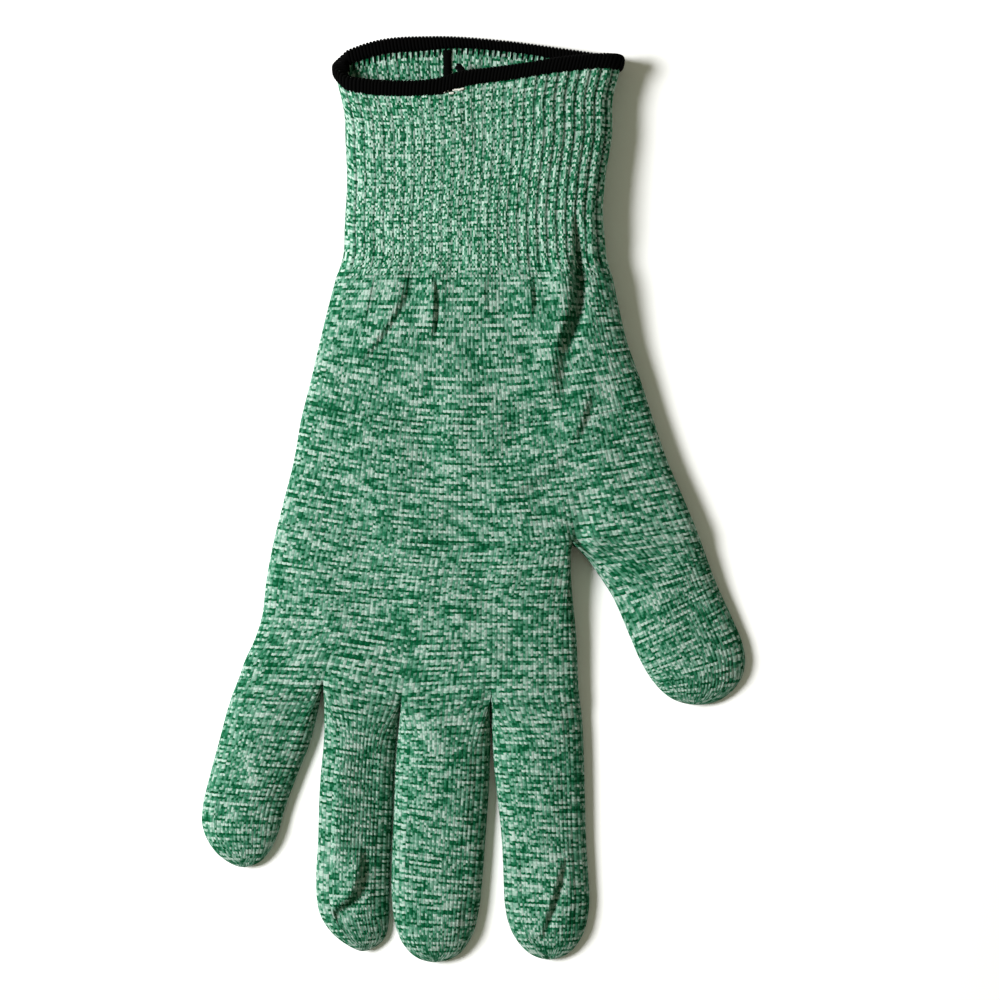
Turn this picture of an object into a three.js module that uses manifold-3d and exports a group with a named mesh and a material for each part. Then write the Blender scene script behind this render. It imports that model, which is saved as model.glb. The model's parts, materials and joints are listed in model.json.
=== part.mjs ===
// A seamless knitted cut resistant glove, lying flat and slightly puffed up.
// Millimetres. +X is the thumb's side, +Y points to the cuff's mouth, +Z is up from the table,
// and the origin is the middle of the footprint, on the table.
//
// The glove is knitted as one fabric, section by section: four fingers, the four-finger palm, the thumb,
// the five-finger palm and the ribbed cuff. Each section is cut again where the fabric folds, so that
// each stretch between two folds is a solid of its own.

import * as THREE from "three";
import { mergeVertices } from "three/addons/utils/BufferGeometryUtils.js";
import Module from "manifold-3d";

const wasm = await Module();
wasm.setup();

// Driving dimensions -------------------------------------------------------------------------------

const FABRIC = 1.5; // wall of the plain knit
const RIB_FABRIC = 2.2; // wall of the ribbed cuff
const SEAM_GAP = 0.3; // between two sections that meet
const OVERRUN = 1; // how far a hollow runs on past the open end of its tube
const FAR = 400; // reach of the blocks that cut the sections apart

const WRIST_Y = 60.1; // rib knit ends and plain knit begins
const THUMB_CROTCH = new THREE.Vector2(27.3, -11.5);
const THUMB_ANGLE = THREE.MathUtils.degToRad(23.9); // from straight down the palm, outwards
const THUMB_JOINT = 27; // from the crotch line to the fold at the thumb's joint
const THUMB_REACH = 60; // from the crotch, along its line, to past the thumb's outer side
const PALM_SPLIT_Y = -12; // five-finger palm ends and four-finger palm begins
const KNUCKLE_Y = -56; // fingers leave the palm

const BINDING_HEIGHT = 3.8; // how far the overlock stitches reach down from the edge
const BINDING_PROUD = 0.8; // how far they stand out of the rib fabric on its outer face
const BINDING_PROUD_INSIDE = 0.5; // and on its inner face
// Three points of the cuff's edge: the back layer, the thumb's side and the front layer.
const MOUTH_EDGE = [
  new THREE.Vector3(-30, 124.4, 0),
  new THREE.Vector3(39, 118.6, 2.4),
  new THREE.Vector3(-26, 111, 16),
];

const ELASTIC = { radius: 0.4, sides: 5, turns: 9, from: 66, to: 106 }; // inlaid in the cuff, between two Y

// A station of a tube of fabric: where its middle is, half its width, its height, and how much lower
// its thumb side is than its other side, as a share of the height.
const station = (x, y, half, height, taper = 0) => ({ x, y, half, height, taper });

// A station given by its left and right edges.
const across = (y, left, right, height, taper = 0) =>
  station((left + right) / 2, y, (right - left) / 2, height, taper);

const CUFF = [
  across(58, -37.4, 37.4, 13),
  across(70, -34.8, 34.8, 12.4, 0.05),
  across(82, -34.2, 33.8, 12.4, 0.15),
  across(95, -34.2, 35.6, 13.4, 0.35),
  across(106, -34.8, 36.8, 15, 0.5),
  across(113, -37.4, 38.4, 16, 0.6),
  across(127, -38.4, 40, 16.4, 0.62),
];

const LOWER_PALM = [
  across(62, -36.6, 36.6, 13),
  across(48.7, -40, 39.2, 13.4),
  across(32.5, -44, 44.8, 13.8),
  across(16.3, -47.3, 50.2, 13.8),
  across(0, -51.3, 56.7, 13.6),
  across(-12, -54.3, 61.3, 13.2),
];

const UPPER_PALM = [
  across(-5.3, -52.7, 26.6, 13.2),
  across(-26.9, -57, 27, 12.8),
  across(-37.7, -59.4, 27.5, 12.4),
  across(-48.5, -63.2, 28.1, 12),
  across(-53.9, -64.3, 28.4, 11.8),
];

// Each finger's last station is the end of its tip. folds holds its two fold lines, from the knuckle on.
const FINGERS = {
  index: {
    folds: [-81.5, -103.5],
    stations: [
      station(16.5, -43.1, 11.3, 11.6),
      station(16.9, -57.4, 11.4, 11.4),
      station(18.2, -80.9, 11.6, 11.2),
      station(19.4, -107.9, 11.2, 10.8),
      station(20.3, -124.1, 10.9, 10.4),
    ],
  },
  middle: {
    folds: [-82, -104],
    stations: [
      station(-7.4, -43.1, 11.7, 11.6),
      station(-7.4, -57.4, 11.7, 11.4),
      station(-8.8, -80.9, 12, 11.2),
      station(-10.4, -107.9, 11.5, 10.8),
      station(-10.8, -125, 11.2, 10.4),
    ],
  },
  ring: {
    folds: [-80.5, -101],
    stations: [
      station(-29.7, -43.1, 9.9, 11.4),
      station(-29.9, -57.4, 9.9, 11.2),
      station(-31.1, -78, 10, 11),
      station(-32.8, -104, 9.9, 10.6),
      station(-33.2, -121.9, 9.6, 10.2),
    ],
  },
  little: {
    folds: [-71.5, -85.5],
    stations: [
      station(-49.7, -40.4, 11.4, 11.4),
      station(-53.7, -54.5, 11.8, 11.2),
      station(-56.8, -64.7, 11.5, 11),
      station(-61.2, -79.5, 10.6, 10.6),
      station(-63.1, -90.3, 10.4, 10.2),
      station(-63.6, -99.5, 9.8, 10),
    ],
  },
};

const THUMB = [
  station(37, 16.3, 13.2, 13.2),
  station(47, -14.7, 13.4, 12.8),
  station(52.8, -26.9, 13.3, 12.4),
  station(57.6, -37.7, 13.3, 12),
  station(64.6, -55.2, 12.8, 11.4),
];

// Finishes -----------------------------------------------------------------------------------------

const cloth = (color, roughness = 0.95) =>
  new THREE.MeshStandardMaterial({ color, roughness, metalness: 0 });
const KNIT = cloth(0x5f9e7d);
const RIB = cloth(0x6aa586);
const BLACK_THREAD = cloth(0x0b0b0c, 0.8);
const RUBBER_THREAD = cloth(0xd9d6c8, 0.6);

// Cross-section ------------------------------------------------------------------------------------

const FLAT_SHARE = 0.72; // of the width that lies flat on the table
const SIDE_SHARE = 0.42; // of the height, where the tube is widest
const CROWN_POWER = 2.5; // squareness of the upper side

// Half an outline from the middle of the flat underside to the middle of the crown, for a tube whose
// half width and height are both 1.
function halfSection() {
  const points = [];
  for (const turn of [0, 30, 60, 90]) {
    const a = THREE.MathUtils.degToRad(turn);
    points.push([FLAT_SHARE + (1 - FLAT_SHARE) * Math.sin(a), SIDE_SHARE * (1 - Math.cos(a))]);
  }
  for (const turn of [22, 42, 60, 76]) {
    const a = THREE.MathUtils.degToRad(turn);
    const x = Math.cos(a) ** (2 / CROWN_POWER);
    const z = Math.sin(a) ** (2 / CROWN_POWER);
    points.push([x, SIDE_SHARE + (1 - SIDE_SHARE) * z]);
  }
  return points;
}

const RIGHT = halfSection();
const SECTION = [...RIGHT, [0, 1], ...RIGHT.map(([x, z]) => [-x, z]).reverse()];

// One ring of a tube: the section at a station, square to the given direction, moved inwards by inset.
function ring(at, direction, inset = 0, shrink = 1, lift = 0) {
  const sideways = new THREE.Vector2(-direction.y, direction.x);
  const reach = (at.half - inset) * shrink;
  return SECTION.map(([sx, sz]) => {
    const height = at.height * (1 - (at.taper * (sx + 1)) / 2) - 2 * inset;
    const z = inset + height * (lift + sz * (1 - 2 * lift));
    return new THREE.Vector3(at.x + sideways.x * reach * sx, at.y + sideways.y * reach * sx, z);
  });
}

const DOWN = new THREE.Vector2(0, -1); // from the cuff towards the fingers

// Solids -------------------------------------------------------------------------------------------

function solidFrom(geometry) {
  const bare = geometry.clone();
  bare.deleteAttribute("normal");
  bare.deleteAttribute("uv");
  const merged = mergeVertices(bare, 1e-4);
  return new wasm.Manifold(
    new wasm.Mesh({
      numProp: 3,
      vertProperties: merged.attributes.position.array,
      triVerts: new Uint32Array(merged.index.array),
    }),
  );
}

// A closed solid through rings of equally many points.
function skin(rings) {
  const count = rings[0].length;
  const middle = (points) =>
    points.reduce((sum, p) => sum.add(p), new THREE.Vector3()).divideScalar(points.length);
  const points = [...rings.flat(), middle(rings[0]), middle(rings[rings.length - 1])];
  const firstCentre = points.length - 2;
  const lastCentre = points.length - 1;
  const faces = [];
  for (let r = 0; r + 1 < rings.length; r++) {
    for (let i = 0; i < count; i++) {
      const a = r * count + i;
      const b = r * count + ((i + 1) % count);
      faces.push([a, b, b + count], [a, b + count, a + count]);
    }
  }
  const last = (rings.length - 1) * count;
  for (let i = 0; i < count; i++) {
    const next = (i + 1) % count;
    faces.push([next, i, firstCentre], [last + i, last + next, lastCentre]);
  }
  const geometry = new THREE.BufferGeometry();
  geometry.setAttribute(
    "position",
    new THREE.Float32BufferAttribute(points.flatMap((p) => [p.x, p.y, p.z]), 3),
  );
  geometry.setIndex(faces.flat());
  const solid = solidFrom(geometry);
  if (solid.volume() > 0) return solid;
  geometry.setIndex(faces.map(([a, b, c]) => [a, c, b]).flat());
  return solidFrom(geometry);
}

const flat = (a, b) => new THREE.Vector2(b.x - a.x, b.y - a.y).normalize();

// A tube whose rings all lie straight across the glove.
const straightTube = (stations, inset) => skin(stations.map((at) => ring(at, DOWN, inset)));

// Steps from the start of the rounded tip to its end, as shares of the rounding's length.
const TIP_STEPS = [0, 0.3, 0.55, 0.75, 0.9, 0.985];
const TIP_POWER = 2.3; // squareness of the tip seen from above
const TIP_SHARE = 0.95; // length of the rounding, as a share of the tip's half width
const TIP_LIFT = 0.3; // how far up, as a share of its height, the underside of the very tip would end

// A tube that ends in a rounded fingertip, at its last station.
function fingerTube(stations, inset) {
  const end = stations[stations.length - 1];
  const before = stations[stations.length - 2];
  const rings = stations.slice(0, -1).map((at, i) => {
    const ahead = flat(at, stations[i + 1]);
    const behind = i > 0 ? flat(stations[i - 1], at) : ahead;
    return ring(at, ahead.add(behind).normalize(), inset);
  });
  const direction = flat(before, end);
  const length = Math.hypot(end.x - before.x, end.y - before.y);
  const rounding = Math.min(end.half * TIP_SHARE, length - 1);
  for (const step of TIP_STEPS) {
    const back = (1 - step) * (rounding - inset) + inset;
    const share = 1 - back / length;
    const at = {
      x: end.x - direction.x * back,
      y: end.y - direction.y * back,
      half: THREE.MathUtils.lerp(before.half, end.half, share),
      height: THREE.MathUtils.lerp(before.height, end.height, share),
      taper: 0,
    };
    const shrink = (1 - step ** TIP_POWER) ** (1 / TIP_POWER);
    rings.push(ring(at, direction, inset, shrink, TIP_LIFT * (1 - shrink)));
  }
  return skin(rings);
}

// A block with one face through a point, that fills the side the normal points to.
function halfSpace(point, normal) {
  const block = new THREE.BoxGeometry(FAR, FAR, FAR).translate(0, 0, FAR / 2);
  const turn = new THREE.Quaternion().setFromUnitVectors(new THREE.Vector3(0, 0, 1), normal);
  return solidFrom(block.applyQuaternion(turn).translate(point.x, point.y, point.z));
}

// The slab between two heights of Y.
function band(low, high) {
  const block = new THREE.BoxGeometry(FAR, high - low, FAR);
  return solidFrom(block.translate(0, (low + high) / 2, 0));
}

const union = (solids) => solids.reduce((sum, solid) => sum.add(solid));

// The largest body of a solid: a cut can leave a crumb beside the piece that it cuts.
const largest = (solid) =>
  solid.decompose().reduce((best, body) => (body.volume() > best.volume() ? body : best));

// The whole knitted shell --------------------------------------------------------------------------

const fingerNames = Object.keys(FINGERS);
const fingerTubes = (inset) => fingerNames.map((name) => fingerTube(FINGERS[name].stations, inset));

// Stations whose last one is moved up by a length.
function endMoved(stations, by) {
  const end = stations[stations.length - 1];
  return [...stations.slice(0, -1), { ...end, y: end.y + by }];
}

// Stations whose first one is moved up by a length.
function startMoved(stations, by) {
  const [first, ...others] = stations;
  return [{ ...first, y: first.y + by }, ...others];
}

const outside = union([
  straightTube(LOWER_PALM, 0),
  straightTube(UPPER_PALM, 0),
  fingerTube(THUMB, 0),
  ...fingerTubes(0),
]);
const inside = union([
  straightTube(endMoved(startMoved(LOWER_PALM, OVERRUN), FABRIC), FABRIC),
  straightTube(endMoved(UPPER_PALM, FABRIC), FABRIC),
  fingerTube(THUMB, FABRIC),
  ...fingerTubes(FABRIC),
]);
const handShell = outside.subtract(inside);

// Cutting the shell into its sections --------------------------------------------------------------

const thumbDirection = new THREE.Vector3(Math.sin(THUMB_ANGLE), -Math.cos(THUMB_ANGLE), 0);
const thumbSideways = new THREE.Vector3(Math.cos(THUMB_ANGLE), Math.sin(THUMB_ANGLE), 0);

// A stretch of the thumb between two distances from the crotch line.
function thumbStretch(from, to) {
  const block = new THREE.BoxGeometry(THUMB_REACH, to - from, FAR);
  block.translate(THUMB_REACH / 2, -(from + to) / 2, 0);
  block.applyMatrix4(
    new THREE.Matrix4().makeBasis(
      thumbSideways,
      thumbDirection.clone().negate(),
      new THREE.Vector3(0, 0, 1),
    ),
  );
  return solidFrom(block.translate(THUMB_CROTCH.x, THUMB_CROTCH.y, 0));
}

const half = SEAM_GAP / 2;
const withoutThumb = handShell.subtract(thumbStretch(-half, FAR / 2));

const pieces = {
  lower_palm: [withoutThumb.intersect(band(PALM_SPLIT_Y + half, WRIST_Y - half)), KNIT],
  upper_palm: [withoutThumb.intersect(band(KNUCKLE_Y + half, PALM_SPLIT_Y - half)), KNIT],
  thumb_base: [handShell.intersect(thumbStretch(half, THUMB_JOINT - half)), KNIT],
  thumb_tip: [handShell.intersect(thumbStretch(THUMB_JOINT + half, FAR / 2)), KNIT],
};

for (const name of fingerNames) {
  const { folds, stations } = FINGERS[name];
  const cuts = [KNUCKLE_Y, ...folds, -FAR / 2];
  const shell = fingerTube(stations, 0).subtract(fingerTube(stations, FABRIC));
  ["base", "middle", "tip"].forEach((part, i) => {
    const stretch = shell.intersect(band(cuts[i + 1] + half, cuts[i] - half));
    pieces[`${name}_finger_${part}`] = [stretch, KNIT];
  });
}

// The cuff, its bound edge and its elastic thread --------------------------------------------------

const mouthNormal = new THREE.Plane().setFromCoplanarPoints(...MOUTH_EDGE).normal;
if (mouthNormal.y < 0) mouthNormal.negate();

// What lies further down the cuff than a distance from its bound edge.
function belowEdge(distance) {
  const point = MOUTH_EDGE[0].clone().addScaledVector(mouthNormal, -distance);
  return halfSpace(point, mouthNormal.clone().negate());
}

const cuffTube = (inset) =>
  straightTube(CUFF, inset).subtract(band(-FAR / 2, WRIST_Y + half));
const cuffBore = straightTube(startMoved(endMoved(CUFF, OVERRUN), -OVERRUN), RIB_FABRIC);
pieces.cuff = [cuffTube(0).subtract(cuffBore).intersect(belowEdge(BINDING_HEIGHT + SEAM_GAP)), RIB];

// The edge stands proud of the fabric on both faces, but not under it, where both lie on the table.
const bindingBore = straightTube(
  startMoved(endMoved(CUFF, OVERRUN), -OVERRUN),
  RIB_FABRIC + BINDING_PROUD_INSIDE,
);
const boundWall = straightTube(CUFF, -BINDING_PROUD)
  .intersect(halfSpace(new THREE.Vector3(), new THREE.Vector3(0, 0, 1)))
  .subtract(bindingBore);
pieces.cuff_binding = [
  boundWall.intersect(belowEdge(0)).subtract(belowEdge(BINDING_HEIGHT)),
  BLACK_THREAD,
];

// The station of the cuff at a height of Y, between the stations listed.
function cuffAt(y) {
  const above = CUFF.findIndex((at) => at.y >= y);
  const [a, b] = [CUFF[above - 1], CUFF[above]];
  const share = (y - a.y) / (b.y - a.y);
  const mix = (key) => THREE.MathUtils.lerp(a[key], b[key], share);
  return station(mix("x"), y, mix("half"), mix("height"), mix("taper"));
}

// A thread of small round section through points, with flat ends. It never runs along the upright given.
function thread(points, radius, sides, upright) {
  const rings = points.map((p, i) => {
    const ahead = points[Math.min(i + 1, points.length - 1)];
    const behind = points[Math.max(i - 1, 0)];
    const along = ahead.clone().sub(behind).normalize();
    const sideways = new THREE.Vector3().crossVectors(along, upright).normalize();
    const over = new THREE.Vector3().crossVectors(sideways, along);
    return Array.from({ length: sides }, (_, s) => {
      const a = (2 * Math.PI * s) / sides;
      return p
        .clone()
        .addScaledVector(sideways, radius * Math.cos(a))
        .addScaledVector(over, radius * Math.sin(a));
    });
  });
  return skin(rings);
}

// The elastic thread winds down the inner face of the rib fabric.
function elasticPath() {
  const { radius, turns, from, to } = ELASTIC;
  const steps = turns * SECTION.length;
  const inset = RIB_FABRIC + 2 * SEAM_GAP + radius;
  return Array.from({ length: steps + 1 }, (_, i) => {
    const y = to + ((from - to) * i) / steps;
    return ring(cuffAt(y), DOWN, inset)[i % SECTION.length];
  });
}
pieces.cuff_elastic_thread = [
  thread(elasticPath(), ELASTIC.radius, ELASTIC.sides, new THREE.Vector3(0, 1, 0)),
  RUBBER_THREAD,
];

// Where the overlock seam closes on itself it ends in two short tails of thread chain: one lies on the
// back layer inside the mouth, and one stands inside the front layer's edge.
const TAILS = {
  overlock_tail_back: [
    [-7.4, 120.2, 3.9],
    [-7.6, 116, 3.6],
    [-8.3, 112, 3.7],
    [-9, 108.5, 4.1],
  ],
  overlock_tail_front: [
    [-2.8, 112.2, 7.9],
    [-2.2, 114.2, 7.2],
    [-0.9, 115.9, 6.2],
  ],
};
const TAIL = { radius: 0.75, sides: 6 };

for (const [name, route] of Object.entries(TAILS)) {
  const points = route.map((point) => new THREE.Vector3(...point));
  pieces[name] = [thread(points, TAIL.radius, TAIL.sides, new THREE.Vector3(0, 0, 1)), BLACK_THREAD];
}

// The scene graph ----------------------------------------------------------------------------------

function meshOf(name, solid, material) {
  const { numProp, vertProperties, triVerts } = largest(solid).getMesh();
  const positions = [];
  for (let i = 0; i < vertProperties.length; i += numProp) {
    positions.push(vertProperties[i], vertProperties[i + 1], vertProperties[i + 2]);
  }
  const geometry = new THREE.BufferGeometry();
  geometry.setAttribute("position", new THREE.Float32BufferAttribute(positions, 3));
  geometry.setIndex([...triVerts]);
  geometry.computeVertexNormals();
  const mesh = new THREE.Mesh(geometry, material);
  mesh.name = name;
  return mesh;
}

const glove = new THREE.Group();
for (const [name, [solid, material]] of Object.entries(pieces)) {
  glove.add(meshOf(name, solid, material));
}

export default glove;
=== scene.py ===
"""A seamless knitted cut resistant glove, lying flat on a pale table, seen from straight above.

The glove is one knitted fabric. Its surface is built as rings of vertices that follow the knit: every
three columns are a wale, and the rows follow the courses. The rings start at the wrist, run one way up the
ribbed cuff and the other way down the palm, and part at the crotches into the thumb and the four fingers,
so that columns run on from the wrist to each fingertip. The surface is then given its folds, its wall, and
the relief of the knit, and is cut into pieces where the fabric bends.
"""
import json
import logging
import math
from dataclasses import dataclass
from enum import Enum
from typing import Iterable, NamedTuple, Optional, Sequence, Union

import bpy
import numpy as np
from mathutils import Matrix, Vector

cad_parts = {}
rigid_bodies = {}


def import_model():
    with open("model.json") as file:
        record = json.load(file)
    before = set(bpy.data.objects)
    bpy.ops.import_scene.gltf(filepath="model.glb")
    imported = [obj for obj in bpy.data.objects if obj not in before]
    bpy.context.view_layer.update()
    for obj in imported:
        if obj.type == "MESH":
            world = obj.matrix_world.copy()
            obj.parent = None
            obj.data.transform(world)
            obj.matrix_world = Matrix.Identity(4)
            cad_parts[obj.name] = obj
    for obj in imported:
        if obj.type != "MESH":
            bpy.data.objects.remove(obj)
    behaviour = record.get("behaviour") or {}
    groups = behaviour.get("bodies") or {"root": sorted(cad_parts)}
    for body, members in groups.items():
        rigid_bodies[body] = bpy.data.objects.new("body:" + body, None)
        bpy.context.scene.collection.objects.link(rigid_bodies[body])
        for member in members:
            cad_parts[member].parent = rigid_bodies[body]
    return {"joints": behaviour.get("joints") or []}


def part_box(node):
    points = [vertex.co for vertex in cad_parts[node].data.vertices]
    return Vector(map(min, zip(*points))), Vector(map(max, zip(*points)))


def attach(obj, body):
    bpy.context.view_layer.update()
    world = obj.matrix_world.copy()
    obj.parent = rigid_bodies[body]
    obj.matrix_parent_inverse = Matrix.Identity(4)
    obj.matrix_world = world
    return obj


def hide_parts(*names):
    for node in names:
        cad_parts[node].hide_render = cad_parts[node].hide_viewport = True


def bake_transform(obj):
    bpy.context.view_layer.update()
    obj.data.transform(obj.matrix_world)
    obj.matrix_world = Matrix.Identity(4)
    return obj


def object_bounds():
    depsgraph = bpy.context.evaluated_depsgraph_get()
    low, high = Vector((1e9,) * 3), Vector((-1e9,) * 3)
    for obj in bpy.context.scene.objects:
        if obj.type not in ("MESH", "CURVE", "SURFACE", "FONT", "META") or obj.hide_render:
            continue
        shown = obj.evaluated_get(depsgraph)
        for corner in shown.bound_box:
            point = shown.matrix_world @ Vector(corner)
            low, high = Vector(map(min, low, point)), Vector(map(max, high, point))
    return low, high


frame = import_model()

CAD_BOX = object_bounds()
LOG = logging.getLogger("glove")
Array = np.ndarray
Piece = bpy.types.Object
Socket = bpy.types.NodeSocket
Value = Union[float, Socket]  # what a node's input can be given
MM = 0.001

# Knit -------------------------------------------------------------------------

WALE = 3  # columns of vertices in a wale
ROW = 0.5  # mm from one row to the next
COURSE = 0.95  # mm from one course to the next
SIDE = 21  # columns round each side edge of a tube
INNER_ROWS = 4  # rows of the outer face to one row of the inner face
FINGER_COLUMNS = {"little": 39, "ring": 39, "middle": 45, "index": 42}
THUMB_COLUMNS = 54
RIBS = 54
RING_COLUMNS = 2 * (sum(FINGER_COLUMNS.values()) + THUMB_COLUMNS + SIDE)  # round the wrist

PLAIN_WALL = 1.4  # mm, as the next one
RIB_WALL = 1.7

# Places, in millimetres: the joints' read from the imported frame, the crotches and sides given ---

JOINTS = {joint["name"]: joint for joint in frame["joints"]}


def joint_place(name: str) -> Array:
    """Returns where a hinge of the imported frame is, in millimetres."""
    return np.array(JOINTS[name]["pos_m"], float) / MM


WRIST_Y = float(joint_place("wrist_fold")[1])
KNUCKLE_Y = float(joint_place("index_knuckle_fold")[1])
THUMB_AXIS = np.array(JOINTS["thumb_root_fold"]["axis"], float)
THUMB_DOWN = np.array([-THUMB_AXIS[1], THUMB_AXIS[0]])  # from the thumb's root to its tip, in plan
THUMB_CROTCH = np.array([28.2, -10.8])
LITTLE_CROTCH = np.array([-40.4, -48.5])
RING_CROTCH = np.array([-19.3, -52.5])
MIDDLE_CROTCH = np.array([4.7, -51.2])
THUMB_SIDE = np.array([59.4, -6.1])  # where the thumb leaves the palm's edge
LITTLE_SIDE = np.array([-63.4, -48.0])  # where the little finger leaves the palm's edge
INDEX_SIDE = np.array([28.3, -51.2])  # where the index finger leaves it


# Small tools ------------------------------------------------------------------


def ease(share: Array) -> Array:
    """Returns a smooth step from 0 to 1 as share goes from 0 to 1."""
    share = np.clip(share, 0.0, 1.0)
    return share * share * (3.0 - 2.0 * share)


class Curve:
    """A smooth curve through chosen points, as a cubic between each two.

    Args:
        knots: where each point is along the curve, rising.
        points: one value or one point for each knot.
    """

    def __init__(self, knots: Sequence[float], points: Sequence) -> None:
        """Works out the curve's slope at each point from the points on both sides of it."""
        self.knots = np.array(knots, float)
        self.points = np.array(points, float).reshape(len(self.knots), -1)
        steps = np.diff(self.knots)[:, None]
        slopes = np.diff(self.points, axis=0) / steps
        inner = (slopes[:-1] * steps[1:] + slopes[1:] * steps[:-1]) / (steps[1:] + steps[:-1])
        self.slopes = np.vstack([slopes[:1], inner, slopes[-1:]])

    @classmethod
    def through(cls, *points: Sequence[float]) -> "Curve":
        """Returns a curve through points, run through evenly from 0 to 1."""
        lengths = np.linalg.norm(np.diff(np.array(points, float), axis=0), axis=1)
        knots = np.concatenate([[0.0], np.cumsum(lengths)])
        return cls(knots / knots[-1], points)

    @classmethod
    def along_y(cls, *pairs: tuple[float, float]) -> "Curve":
        """Returns a value that changes along Y, from (y, value) pairs in any order."""
        pairs = sorted(pairs)
        return cls([y for y, _ in pairs], [value for _, value in pairs])

    def __call__(self, at: Array) -> Array:
        """Works out the curve at places along it.

        Args:
            at: the places; those beyond an end count as that end.

        Returns:
            A point for each place, or a plain number where the curve is one of single values.
        """
        at = np.clip(np.asarray(at, float), self.knots[0], self.knots[-1])
        i = np.clip(np.searchsorted(self.knots, at, side="right") - 1, 0, len(self.knots) - 2)
        step = self.knots[i + 1] - self.knots[i]
        t = ((at - self.knots[i]) / step)[..., None]
        step = step[..., None]
        a, b = self.points[i], self.points[i + 1]
        da, db = self.slopes[i] * step, self.slopes[i + 1] * step
        value = (
            (2 * t**3 - 3 * t**2 + 1) * a
            + (t**3 - 2 * t**2 + t) * da
            + (3 * t**2 - 2 * t**3) * b
            + (t**3 - t**2) * db
        )
        return value[..., 0] if self.points.shape[1] == 1 else value


def waves(x: Array, y: Array, length: float, seed: int, count: int = 6) -> Array:
    """Returns soft uneven waves between about -1 and 1.

    Args:
        x, y: places, in millimetres.
        length: the usual distance from crest to crest.
        seed: picks the waves' directions and phases.
        count: how many plain waves are added up.

    Returns:
        The waves' height at each place.
    """
    rng = np.random.default_rng(seed)
    total = np.zeros_like(x)
    for _ in range(count):
        turn = rng.uniform(0, 2 * math.pi)
        pace = 2 * math.pi / (length * rng.uniform(0.7, 1.5))
        total += np.sin(pace * (x * math.cos(turn) + y * math.sin(turn)) + rng.uniform(0, 6.28))
    return total / math.sqrt(count)


# The fabric's rings of vertices -----------------------------------------------


ROUNDING_LIMIT = 0.42  # a side edge's roundness takes at most this share of the tube's width
DOME_WIDTHS = (25.0, 100.0)  # a tube as wide as the first is round, and one as wide as the second is flat
DOME_POWERS = (2.0, 3.8)  # the powers that make them so


@dataclass
class TubeShape:
    """How a flattened tube of fabric lies, one value or plan point for each ring.

    Args:
        left, right: plan points of the tube's side edges.
        crown: how far the middle of the upper layer stands above the height of its sides.
        left_edge, right_edge: heights of the tube near its sides, which roll over halfway down.
        rounding: how wide the rolled side is, seen from above.
        lift: how high the underside is.
    """

    left: Array
    right: Array
    crown: Array
    left_edge: Array
    right_edge: Array
    rounding: Array
    lift: Array

    def section(self, top: int) -> tuple[Array, Array]:
        """Works out the tube's sections.

        Args:
            top: how many columns each layer has.

        Returns:
            For each ring and column, the share of the way across the tube, and the height.
        """
        width = np.linalg.norm(self.right - self.left, axis=1)[:, None]
        edge = np.minimum(self.rounding[:, None], ROUNDING_LIMIT * width) / np.maximum(width, 1e-6)
        upper = edge + (1 - 2 * edge) * np.linspace(0.0, 1.0, top + 1)[None]
        turn = np.linspace(math.pi / 2, -math.pi / 2, SIDE + 1)[None, 1:-1]
        right = 1 - edge + edge * np.cos(turn)
        left = edge - edge * np.cos(turn[:, ::-1])
        shares = np.hstack([upper, right, upper[:, ::-1], left])
        shoulder = self.left_edge[:, None] + (self.right_edge - self.left_edge)[:, None] * shares
        seam = SEAM_SHARE * shoulder
        power = np.interp(width, DOME_WIDTHS, DOME_POWERS)
        dome = (1 - np.abs(2 * shares - 1).clip(0, 1) ** power).clip(0, 1) ** (1 / power)
        above = seam + (shoulder + self.crown[:, None] - seam) * dome
        inward = (np.minimum(shares, 1 - shares) / edge).clip(0, 1)
        below = seam * (1 - np.sqrt(1 - (1 - inward) ** 2))
        top_half = np.concatenate([np.ones(top + 1), turn[0] >= 0, np.zeros(top + 1), turn[0, ::-1] >= 0])
        heights = np.where(top_half[None] > 0, above, below) + self.lift[:, None]
        return shares, heights


class Fabric:
    """Every vertex of the glove's fabric, with what the finished surface needs to know of it."""

    def __init__(self) -> None:
        """Starts with no vertices."""
        self.points = np.zeros((0, 3))
        self.relief = np.zeros(0)
        self.wall = np.zeros(0)
        self.upper = np.zeros(0)
        self.normals = np.zeros((0, 3))

    def add(self, points: Array, wall: float) -> Array:
        """Adds vertices.

        Args:
            points: where they are, in a grid of any shape.
            wall: how thick the fabric is there.

        Returns:
            Their numbers, in the same grid.
        """
        flat = points.reshape(-1, 3)
        first = len(self.points)
        self.points = np.vstack([self.points, flat])
        self.relief = np.concatenate([self.relief, np.zeros(len(flat))])
        self.wall = np.concatenate([self.wall, np.full(len(flat), wall)])
        self.upper = np.concatenate([self.upper, np.zeros(len(flat))])
        return np.arange(first, len(self.points)).reshape(points.shape[:-1])

    def face_forward(self, quads: Array, fans: Array) -> None:
        """Works out the normal of each vertex from the faces that meet there.

        Args:
            quads, fans: the corners of the fabric's four-sided and three-sided faces.
        """
        self.normals = np.zeros_like(self.points)
        a, b, c, d = (self.points[quads[:, i]] for i in range(4))
        facing = np.cross(c - a, d - b)
        for i in range(4):
            np.add.at(self.normals, quads[:, i], facing)
        a, b, c = (self.points[fans[:, i]] for i in range(3))
        facing = np.cross(b - a, c - a)
        for i in range(3):
            np.add.at(self.normals, fans[:, i], facing)
        self.normals /= np.maximum(np.linalg.norm(self.normals, axis=1), 1e-12)[:, None]


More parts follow.
